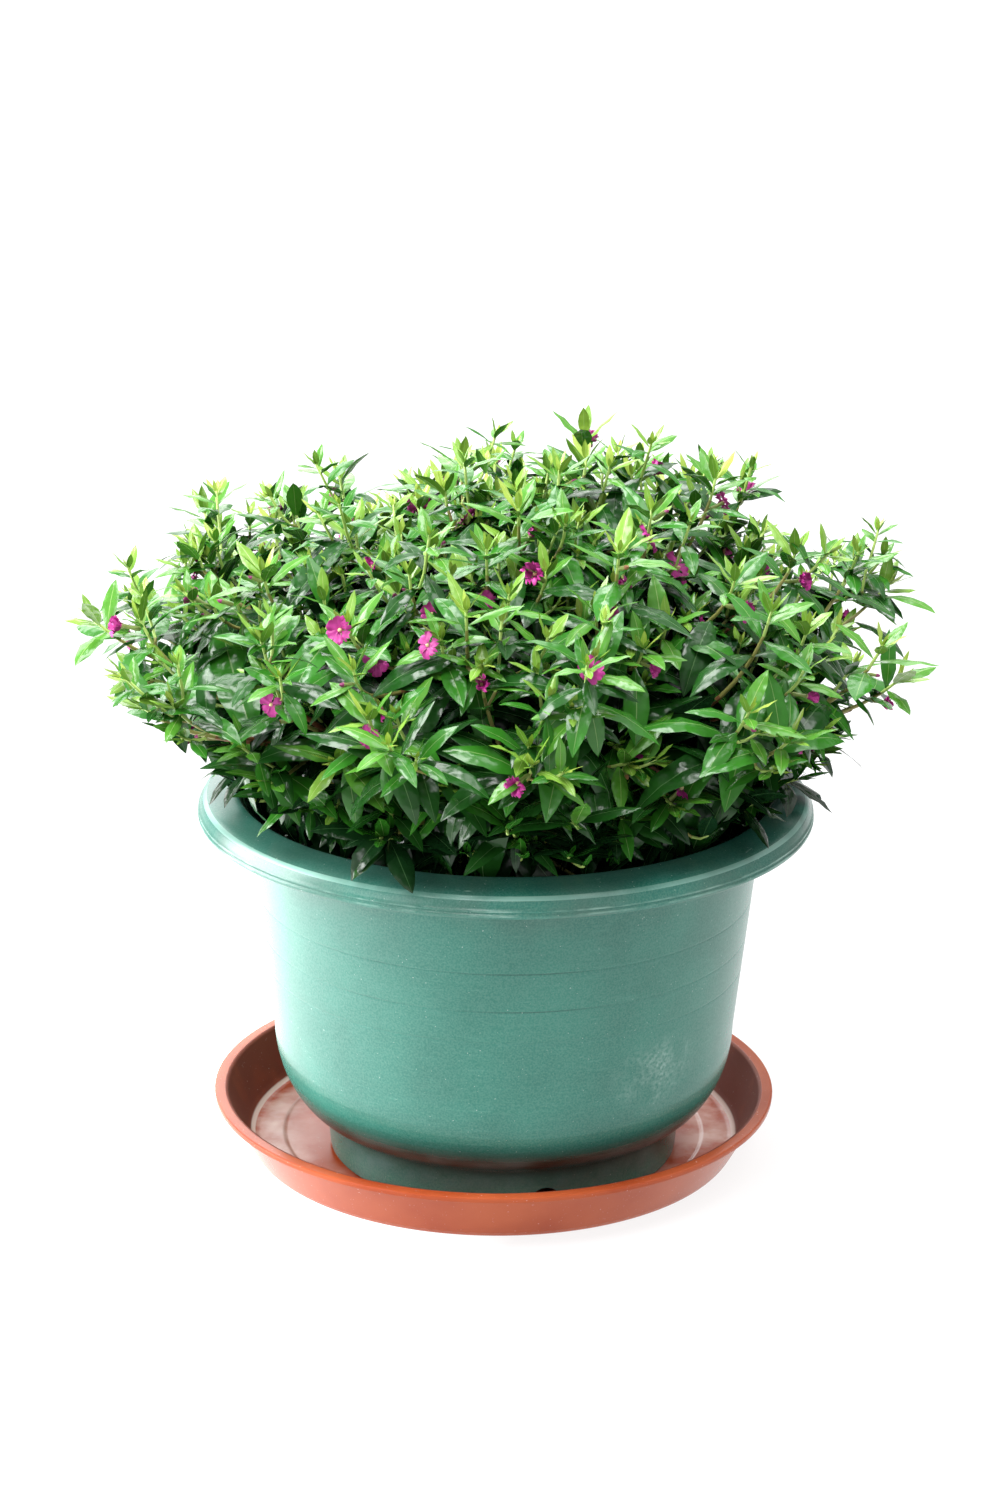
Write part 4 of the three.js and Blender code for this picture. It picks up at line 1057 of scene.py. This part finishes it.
stem_path = Bend(UP * (FOOT_TOP - 2), UP, UP * (FOOT_TOP + STEM_HEIGHT), UP, *SPINE_SLACKS)
stem_tube = tube(stem_path, (STEM_RADIUS, STEM_TOP_RADIUS), sides=40, steps=26, relief=3 * BARK_RELIEF)
stem = join_tubes("stem_wood", [stem_tube], [bark])
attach(stem, "root")
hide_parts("stem")

SHOOT_RADIUS = 1.25
bough_tubes = []
for site in sites:
    bough_tubes.append(tube(site["bough"], (BOUGH_RADIUS, BOUGH_TIP_RADIUS), 14, 26, BARK_RELIEF))
    bough_tubes.append(tube(site["spine"], (BOUGH_TIP_RADIUS, SHOOT_RADIUS), 10, 14, BARK_RELIEF / 2))
boughs = join_tubes("bough_wood", bough_tubes, [bark])
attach(boughs, "root")
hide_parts(*["bough_" + site["name"] for site in sites])

# %% Make the twigs
TIP_RADIUS = 0.45
RADII = {"main": SHOOT_RADIUS, "fine": 0.85, "sprig": 0.55}
TUBE_STEPS = {"main": 10, "fine": 10, "sprig": 4}
COLOUR_STARTS = {"main": (0.3, 0.55, 0.8), "fine": (0.15, 0.4, 0.7), "sprig": (-1, -1, 0.25)}
TWIG_COLOURS = [
    ("old_twig_bark", "5a3826", 0.6),
    ("red_brown_shoot", "7d4f33", 0.5),
    ("olive_shoot", "8c8a4a", 0.45),
    ("green_shoot", "a3bf63", 0.42),
]

twig_materials = [new_material(*row)[0] for row in TWIG_COLOURS]
twig_tubes = []
for shoot in main_shoots + twigs + sprigs:
    kind = shoot["kind"]
    radii = (RADII[kind], TIP_RADIUS)
    twig_tubes.append(tube(shoot["path"], radii, 6, TUBE_STEPS[kind], colour_starts=COLOUR_STARTS[kind]))
twig_wood = join_tubes("twig_wood", twig_tubes, twig_materials)
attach(twig_wood, "root")

# %% [markdown]
# ## Flowers: their shape
# A flower is a thin green tube with six crinkled magenta petals that spread from its mouth, about 12 mm
# across, and a pale heart. Petals are thin and velvety, so they have no sharp highlight. A petal is a
# grid of vertices, and a tube is a short profile turned round. A few openings, from nearly flat to nearly
# closed, are each worked out once as arrays.

# %% Petals
PETALS = 6
PETAL_LENGTH, PETAL_WIDTH = 5.0, 4.0
PETAL_ROWS = np.array([0, 0.22, 0.45, 0.68, 0.87, 1])
PETAL_WIDTHS = np.array([0.16, 0.42, 0.8, 1.0, 0.94, 0.6])
PETAL_COLUMNS = np.array([-1, -0.5, 0, 0.5, 1])
CRINKLE, CRINKLE_WAVES, CRINKLE_START = 0.95, 1.15, 1.3
EDGE_CRINKLE, EDGE_WAVES = 0.6, 1.5
RISE_SPREAD, SAG = 0.5, 1.6
PETAL_TURN_SPREAD, PETAL_LENGTH_SPREAD = 0.25, 0.3
TUBE_LENGTH, TUBE_RADIUS = 7.5, 0.95


def petal_places(turn, length, closed, draw):
    """One crinkled petal of a flower that faces up: spread out at 0 closed, upright at 1."""
    share, column = PETAL_ROWS[:, None], PETAL_COLUMNS[None, :]
    aside = column * PETAL_WIDTHS[:, None] * PETAL_WIDTH / 2
    crinkle = CRINKLE * np.sin(math.tau * (column * CRINKLE_WAVES + draw())) * share**CRINKLE_START
    crinkle = crinkle + EDGE_CRINKLE * np.sin(math.tau * (share * EDGE_WAVES + draw())) * column**2
    rise = closed * math.pi / 2 + RISE_SPREAD * (draw() - 0.5)
    sag = SAG * share**2 * draw()
    out = TUBE_RADIUS * 0.6 + share * length * math.cos(rise) - crinkle * math.sin(rise)
    lift = share * length * math.sin(rise) + (crinkle - sag) * math.cos(rise)
    x = out * math.cos(turn) - aside * math.sin(turn)
    y = out * math.sin(turn) + aside * math.cos(turn)
    return np.stack([x, y, TUBE_LENGTH + lift], -1)


# %% Tubes, hearts and buds
TUBE_SIDES = 8
# Radius and height of each ring, the flower facing up
CALYX = [(0.05, 0), (0.8, 0.6), (1.0, 2), (0.75, 4.5), (0.85, 6.6), (1.15, 7.6), (0.55, 7.2)]
HEART = [(0.7, 7.3), (0.75, 8.0), (0.45, 8.7), (0.02, 8.9)]
BUD = [(0.05, 0), (0.7, 0.5), (0.95, 2), (0.8, 4.2), (0.95, 5.6), (0.7, 6.8), (0.02, 7.6)]
BUD_TIP_RING = 4


def turned_places(profile):
    """Rings of vertices round the upright axis, one for each (radius, height)."""
    turns = [math.tau * k / TUBE_SIDES for k in range(TUBE_SIDES + 1)]
    rings = [[(radius * math.cos(turn), radius * math.sin(turn), height) for turn in turns]
             for radius, height in profile]
    return np.array(rings)


def grids_of(parts):
    """Vertices, quads and face materials of several grids: [(grid, material), ...]."""
    shapes = []
    for grid, material in parts:
        faces = grid_faces(1, *grid.shape[:2])
        shapes.append((grid.reshape(-1, 3), faces, np.full(len(faces), material)))
    return merged(shapes)


def flower_shape(closed, draw):
    """A flower: its petals, the green tube that holds them and the pale heart in its mouth."""
    parts = []
    for k in range(PETALS):
        turn = math.tau * k / PETALS + PETAL_TURN_SPREAD * draw()
        length = PETAL_LENGTH * vary(draw, PETAL_LENGTH_SPREAD)
        parts.append((petal_places(turn, length, closed, draw), 0))
    return grids_of(parts + [(turned_places(CALYX), 1), (turned_places(HEART), 2)])


def bud_shape(tip_material):
    """A closed bud: a green foot and a tip with its own colour."""
    foot, tip = turned_places(BUD[:BUD_TIP_RING + 1]), turned_places(BUD[BUD_TIP_RING:])
    return grids_of([(foot, 1), (tip, tip_material)])


# %% [markdown]
# ## Flowers: where they sit
# Flowers stand beside the upper leaves, out in the light and facing outwards. All places where one can
# stand are put in a drawn order and taken in turn, each only where it is far enough from those taken
# before. Closed buds, and a few dried ones where flowers have dropped, are spread in the same way.

# %% Places for flowers and buds
FLOWER_COUNT, FLOWER_SPACING = 88, 15
BUD_COUNT, BUD_SPACING = 90, 10
CROWN_HEART = 150
FLOWER_AGES, FLOWER_DEPTH = (2, 5), 0.45
FLOWER_SWING, FLOWER_STANDOFF, FLOWER_ROOM = 1.6, 0.6, 14
FLOWER_OUT, FLOWER_ALONG, FLOWER_UP = 0.8, 0.5, 0.1


def flower_places(draw):
    """Every place beside a leaf near a tip, in the light, with the root and the way of a flower there."""
    places = []
    for shoot in main_shoots + twigs:
        for node in shoot["nodes"]:
            place, along = node["place"], node["along"]
            outward = place - UP * CROWN_HEART
            side = outward - along * outward.dot(along)
            side = across(along, FLOWER_SWING * (draw() - 0.5), side.normalized())
            way = (side * FLOWER_OUT + along * FLOWER_ALONG + UP * FLOWER_UP).normalized()
            root = place + side * FLOWER_STANDOFF
            right_age = FLOWER_AGES[0] <= node["age"] <= FLOWER_AGES[1]
            if right_age and depth_of(place) < FLOWER_DEPTH and in_crown(root + way * FLOWER_ROOM):
                places.append((draw(), root, way))
    return sorted(places, key=lambda place: place[0])


def spread_out(places, count, apart):
    """Takes places in turn, each only where it is far enough from all those taken before it."""
    taken = []
    for _, root, way in places:
        if len(taken) < count and all((root - other).length > apart for other, _ in taken):
            taken.append((root, way))
    return taken


draw = random_run(SEED + 4)
open_places = spread_out(flower_places(draw), FLOWER_COUNT, FLOWER_SPACING)
bud_places = spread_out(flower_places(draw), BUD_COUNT, BUD_SPACING)
print("flowers:", len(open_places), "buds:", len(bud_places))

# %% Make the flowers and buds
FLOWER_OPENINGS = (0.1, 0.35, 0.6, 0.88)
FLOWER_SCALE, FLOWER_SCALE_SPREAD = 0.8, 0.4
BUD_SCALE, BUD_SCALE_SPREAD = 0.7, 0.5
BUD_TIPS = (3, 3, 4)
FLOWER_COLOURS = [
    ("magenta_petal", "b22d88", 0.5),
    ("green_calyx", "7f8f4c", 0.5),
    ("pale_flower_heart", "e9d9a0", 0.5),
    ("purple_bud", "8a2a63", 0.45),
    ("dried_calyx", "8a5f3c", 0.7),
]


def copies(shapes, sittings):
    """Places one of the shapes at each sitting: (shape number, root, way, scale)."""
    placed = []
    for number, root, way, scale in sittings:
        points, faces, materials = shapes[number]
        side = across(way, 1.0)
        basis = np.array([side, way.cross(side), way])
        placed.append((points * scale @ basis + np.array(root), faces, materials))
    return merged(placed)


def sittings(places, shape_count, scale, spread, draw):
    """A drawn shape and size for each place."""
    return [(int(draw() * shape_count), root, way, scale * vary(draw, spread)) for root, way in places]


flower_sittings = sittings(open_places, len(FLOWER_OPENINGS), FLOWER_SCALE, FLOWER_SCALE_SPREAD, draw)
bud_sittings = sittings(bud_places, len(BUD_TIPS), BUD_SCALE, BUD_SCALE_SPREAD, draw)
flower_shapes = [flower_shape(closed, draw) for closed in FLOWER_OPENINGS]
bud_shapes = [bud_shape(tip_material) for tip_material in BUD_TIPS]
flower_materials = [new_material(*row)[0] for row in FLOWER_COLOURS]
flowers = mesh_from_arrays("flowers", *copies(flower_shapes, flower_sittings), flower_materials)
buds = mesh_from_arrays("flower_buds", *copies(bud_shapes, bud_sittings), flower_materials)
for piece in (flowers, buds):
    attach(piece, "root")

# %% [markdown]
# ## The pot's plastic
# The pot is injection-moulded polypropylene: a satin surface with soft, wide highlights. It has been used
# outdoors. Fine streaks run round it and pale specks of dust lie on it. Its flat ring is painted darker as
# shade and the dark reflection of the crown, its crest carries a painted highlight and its beads painted
# highlights over pale wear. There is a whitish scuff low on one side, painted shade greyed like dust lies
# under the rim, and dust clings to the foot. Painted shade lies in the upper two grooves and, darkest, in
# the crease over the foot. The grain of the real plastic is finer than 0.1 mm and would not show, so it is
# drawn 0.6 mm wide, and the streaks and specks nearly 1 mm.

# %% Readings on the pot
POT_GREEN = "286a5d"
SCUFF_PLACE = pot_centre / MM + heading_vector(-50, 0) * wall_radius(50) + UP * 52
SCUFF_SIZE = (19, 19, 14)
STREAK_STRETCH = 14

pot_plastic, surface = new_material("moulded_green_polypropylene", POT_GREEN, 0.27, 1.49)
tree = pot_plastic.node_tree
place = place_in_millimetres(tree)
x, y, height = add_node(tree, "ShaderNodeSeparateXYZ", {"Vector": place}).outputs
# Streaks run round the wall, so their noise is read on the wall unrolled and squeezed along its length
back = add_node(tree, "ShaderNodeMath", {0: y, 1: -1}, operation="MULTIPLY").outputs["Value"]
turn = add_node(tree, "ShaderNodeMath", {0: x, 1: back}, operation="ARCTAN2").outputs["Value"]
arc = add_node(tree, "ShaderNodeMath", {0: turn, 1: NECK_RADIUS / STREAK_STRETCH}, operation="MULTIPLY")
unrolled = add_node(tree, "ShaderNodeCombineXYZ", {"X": arc.outputs["Value"], "Z": height})
streaked = unrolled.outputs["Vector"]
# The distance from the scuff's middle, as a share of the scuff's size
off_scuff = add_node(tree, "ShaderNodeMapping", {
    "Vector": place, "Location": SCUFF_PLACE, "Scale": SCUFF_SIZE}, vector_type="TEXTURE").outputs["Vector"]
from_scuff = add_node(tree, "ShaderNodeVectorMath", {0: off_scuff}, operation="LENGTH").outputs["Value"]
scuff_cloud = add_node(tree, "ShaderNodeTexNoise", {
    "Vector": place, "Scale": 1 / 8, "Detail": 5, "Distortion": 0.3}).outputs["Fac"]
grain = limited(tree, 0.14, (place, 0.35, 0.65, 0.6, 2))
print("the scuff's middle, in millimetres:", list(SCUFF_PLACE))

# %% Lay the pot's colours
pot_layers = [
    ("haze", "307869", 1, (place, 0.3, 0.7, 26, 4)),
    ("streaks", "4f8f80", 0.4, (streaked, 0.56, 0.8, 0.9, 4)),
    ("grain", "8fb8ab", 1, (grain, 0, 1)),
    # Painted shade under the rim, greyed like dust
    ("painted shade and dust under the rim", "55685f", 0.45, (height, 104, 118), (place, 0.4, 0.6, 34, 3)),
    # Painted shade and dark reflection of the crown on the flat ring
    ("flat ring", "14493e", 0.5, (height, 125.4, 127.4)),
    # Painted highlight along the crest of the rim
    ("painted highlight on the crest", "9ccabd", 0.75, *near(height, CREST_HEIGHT - 0.6, 0.55), (place, 0.25, 0.65, 40, 4)),
    # Painted shade in the upper two grooves
    *[("painted shade in the grooves", "143a33", 0.45, *near(height, at, 0.22), (place, 0.46, 0.62, 60, 2))
      for at in RING_HEIGHTS[1:]],
    ("specks", "d5e6df", 0.5, (place, 0.73, 0.77, 0.8, 2)),
    ("scuff", "a9c6bc", 0.5, (from_scuff, 1.05, 0.25), (scuff_cloud, 0.38, 0.6),
     (place, 0.35, 0.68, 1.3, 4)),
    # Painted highlights on the beads, partly pale wear
    *[("painted highlight and wear on the beads", "a5cbbf", 0.4, *near(height, at, 0.28), (place, 0.42, 0.66, 9, 2))
      for at in BEAD_HEIGHTS],
    ("scratches on the ring", "a9c9be", 0.5, (height, 124, 125.5), (streaked, 0.69, 0.74, 0.8, 3)),
    # Painted shade in the crease over the foot, nearly black
    ("painted shade in the crease", "0b1a17", 0.95, *near(height, CREASE_HEIGHT + 3.5, 8, 5)),
    ("foot dust", "4d6e6c", 0.5, (height, 17, 13), (place, 0.35, 0.65, 9, 5)),
]
cover(tree, surface, POT_GREEN, pot_layers)
bumps = add_node(tree, "ShaderNodeBump", {"Height": grain, "Strength": 0.12, "Distance": 0.3 * MM})
tree.links.new(bumps.outputs["Normal"], surface.inputs["Normal"])
pot.data.materials.append(pot_plastic)
print("layers on the pot:", [layer[0] for layer in pot_layers])

# %% [markdown]
# ## The saucer's plastic
# The saucer is the same kind of plastic in a clay colour. Inside it the wall is dulled, and its colour is
# painted darker as shade and dark reflection. Water has left pale patches on the floor, made paler still
# as painted sheen, and a thin circle further in, and a painted highlight runs round the corner. The
# readings are the distance from the middle and the same distance measured across the leaning wall.

# %% The saucer's plastic
CLAY = "9e401e"
GLOSS, DULLED = 0.24, 0.6
WALL_LEAN, WALL_FOOT = 0.48, 80.15
RING_RADIUS, CIRCLE_RADIUS = 80.4, 70.2

saucer_plastic, surface = new_material("moulded_clay_coloured_polypropylene", CLAY, GLOSS, 1.42)
surface.inputs["Specular IOR Level"].default_value = 0.35
tree = saucer_plastic.node_tree
place = place_in_millimetres(tree)
height = add_node(tree, "ShaderNodeSeparateXYZ", {"Vector": place}).outputs["Z"]
flat = add_node(tree, "ShaderNodeVectorMath", {0: place, 1: (1, 1, 0)}, operation="MULTIPLY")
length = add_node(tree, "ShaderNodeVectorMath", {0: flat.outputs["Vector"]}, operation="LENGTH")
out = length.outputs["Value"]
across_wall = add_node(tree, "ShaderNodeMath", {0: height, 1: -WALL_LEAN, 2: out},
                       operation="MULTIPLY_ADD").outputs["Value"]
inside = [(across_wall, WALL_FOOT + 0.15, WALL_FOOT - 0.15), (height, 1.5, 2)]
on_wall = [*inside, (out, 79.5, 81)]
on_floor = [*inside, (out, 81, 79.5)]
saucer_layers = [
    ("haze", "b25530", 1, (place, 0.3, 0.7, 26, 4)),
    ("clean floor", "ac431f", 0.7, *on_floor),
    # Pale water marks on the floor, made paler as painted sheen
    ("dried water and painted sheen", "f4d6c9", 0.675, *on_floor, (out, 56, 74), (place, 0.42, 0.62, 20, 6)),
    # Painted shade and dark reflection on the inner wall
    ("painted shade on the inner wall", "6a2c1f", 0.8, *on_wall, (place, -0.1, 0.45, 14, 5)),
    # Painted highlight where the floor's rounded corner catches the light
    ("painted highlight in the corner", "e8c8bc", 0.85, *inside, *near(out, RING_RADIUS, 0.7, 0.2)),
    ("circle on the floor", "e0bcb0", 0.35, *on_floor, *near(out, CIRCLE_RADIUS, 0.3)),
    ("specks", "e2c2b6", 0.5, (place, 0.7, 0.76, 0.9, 2)),
]
cover(tree, surface, CLAY, saucer_layers)
film = limited(tree, 1, *on_wall)
roughness = add_node(tree, "ShaderNodeMapRange", {"Value": film, "To Min": GLOSS, "To Max": DULLED})
tree.links.new(roughness.outputs["Result"], surface.inputs["Roughness"])
saucer.data.materials.append(saucer_plastic)
print("layers on the saucer:", [layer[0] for layer in saucer_layers])

# %% [markdown]
# ## The soil's look
# Damp peat is nearly black, with paler crumbs about 2.5 mm wide, and it is rough enough to have no
# highlights. One noise gives both the crumbs' colour and their relief.

# %% The soil
PEAT, CRUMB = "17100c", "4a382b"
CRUMB_SIZE, CRUMB_HEIGHT = 2.5, 1.2

soil_material, surface = new_material("peat_potting_soil", PEAT, 0.95)
tree = soil_material.node_tree
place = place_in_millimetres(tree)
crumbs = add_node(tree, "ShaderNodeTexNoise", {
    "Vector": place, "Scale": 1 / CRUMB_SIZE, "Detail": 6, "Roughness": 0.7}).outputs["Fac"]
cover(tree, surface, PEAT, [("crumbs", CRUMB, 1, (crumbs, 0, 1))])
bumps = add_node(tree, "ShaderNodeBump", {"Height": crumbs, "Strength": 0.8, "Distance": CRUMB_HEIGHT * MM})
tree.links.new(bumps.outputs["Normal"], surface.inputs["Normal"])
soil.data.materials.append(soil_material)

for piece, node, slot in (
    (pot, "pot", "pot_plastic"),
    (saucer, "saucer", "saucer_plastic"),
    (soil, "soil", "potting_soil"),
):
    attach(piece, "root")
    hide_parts(node)
    print(piece.name, "stands for", node)

# %% [markdown]
# ## Floor and sky
# The photograph was taken on white, with soft light all round and no shadow. A floor that glows like a
# light table gives that. It glows brighter in a pool at the left of the pot, and the reflection of the
# pool washes out the pot's left side. The sky is white too, and brighter the higher one looks.

# %% The floor and the sky
TABLE_GLOW = 0.86
POOL_GLOW, POOL_REACH = 4.2, 0.4
POOL_PLACE = (-0.37, 0.05, 0)
SKY_LOW, SKY_HIGH = 0.38, 1.0

bpy.ops.mesh.primitive_plane_add(size=30)
floor = bpy.context.object
floor.name = "floor"
floor_paint, surface = new_material("white_light_table", "626262", 0.9)
surface.inputs["Emission Color"].default_value = (1, 1, 1, 1)
tree = floor_paint.node_tree
place = add_node(tree, "ShaderNodeTexCoord").outputs["Object"]
distance = add_node(tree, "ShaderNodeVectorMath", {0: place, 1: POOL_PLACE}, operation="DISTANCE")
glow = add_node(tree, "ShaderNodeMapRange", {
    "Value": distance.outputs["Value"], "From Min": POOL_REACH, "From Max": POOL_REACH / 4,
    "To Min": TABLE_GLOW, "To Max": POOL_GLOW})
tree.links.new(glow.outputs["Result"], surface.inputs["Emission Strength"])
floor.data.materials.append(floor_paint)

world = bpy.data.worlds.new("soft_sky")
world.use_nodes = True
sky = world.node_tree
sky.nodes["Background"].inputs["Color"].default_value = (1, 1, 1, 1)
direction = add_node(sky, "ShaderNodeTexCoord").outputs["Generated"]
height = add_node(sky, "ShaderNodeSeparateXYZ", {"Vector": direction}).outputs["Z"]
brightness = add_node(sky, "ShaderNodeMapRange", {"Value": height, "To Min": SKY_LOW, "To Max": SKY_HIGH})
sky.links.new(brightness.outputs["Result"], sky.nodes["Background"].inputs["Strength"])
bpy.context.scene.world = world
print("floor glow:", TABLE_GLOW, "to", POOL_GLOW, "sky:", SKY_LOW, "to", SKY_HIGH)

# %% [markdown]
# ## Lamps
# Seven square soft boxes stand round the plant and shine at the crown. The strongest is a window at the left,
# which gives the leaves their long white highlights. Three above light the top, and the others fill the
# sides and the back.

# %% The lamps
# Place and size in metres, power in watts
LAMPS = [
    ("top_softbox", (-0.2, 0.35, 1.9), 0.8, 32),
    ("front_top_softbox", (-0.25, -0.65, 1.6), 0.65, 22),
    ("left_window", (-1.9, 0.35, 0.75), 1.4, 90),
    ("back_left_window", (-0.75, 2.0, 0.95), 1.5, 20),
    ("front_left_window", (-1.5, -1.3, 0.7), 1.0, 12),
    ("back_window", (0.1, 2.0, 1.8), 1.2, 12),
    ("top_right_softbox", (0.9, 0.0, 1.7), 0.9, 13),
]

crown_middle = pot_centre + UP * CROWN_MIDDLE * MM
for name, place, size, power in LAMPS:
    lamp = bpy.data.lights.new(name, "AREA")
    lamp.size = size
    lamp.energy = power
    holder = bpy.data.objects.new(name, lamp)
    holder.location = place
    holder.rotation_euler = (crown_middle - Vector(place)).to_track_quat("-Z", "Y").to_euler()
    bpy.context.scene.collection.objects.link(holder)
print("lamps:", len(LAMPS))

# %% [markdown]
# ## Camera
# The camera stands about 1.4 m away and looks a little down, as measured from the ellipses of the pot's
# lip and the saucer's rim. The lens comes from the picture's height and its focal length, both in pixels.

# %% The camera
CAMERA_DISTANCE = 1.4
CAMERA_RISE = math.radians(19.9)
CAMERA_HEIGHT_AIM = 0.110
CAMERA_PITCH = math.radians(18.74)
CAMERA_YAW = math.radians(-0.09)
CAMERA_ROLL = math.radians(0.52)
FOCAL_SHARE = 4300 / 1499
SENSOR = 36

camera_data = bpy.data.cameras.new("camera")
camera_data.sensor_fit = "VERTICAL"
camera_data.sensor_height = SENSOR
camera_data.lens = SENSOR * FOCAL_SHARE
camera = bpy.data.objects.new("camera", camera_data)
forward = Vector((math.sin(CAMERA_YAW), math.cos(CAMERA_YAW), 0))
ahead = forward * math.cos(CAMERA_PITCH) - UP * math.sin(CAMERA_PITCH)
level = forward.cross(UP)
upright = level.cross(ahead)
right = level * math.cos(CAMERA_ROLL) + upright * math.sin(CAMERA_ROLL)
top = upright * math.cos(CAMERA_ROLL) - level * math.sin(CAMERA_ROLL)
stand = pot_centre + UP * CAMERA_HEIGHT_AIM
stand += Vector((0, -math.cos(CAMERA_RISE), math.sin(CAMERA_RISE))) * CAMERA_DISTANCE
camera.matrix_world = Matrix.Translation(stand) @ Matrix((right, top, -ahead)).transposed().to_4x4()
bpy.context.scene.collection.objects.link(camera)
bpy.context.scene.camera = camera
bpy.context.scene.view_settings.view_transform = "Standard"
print("camera stands at", list(stand), "with a lens of", camera_data.lens, "mm")
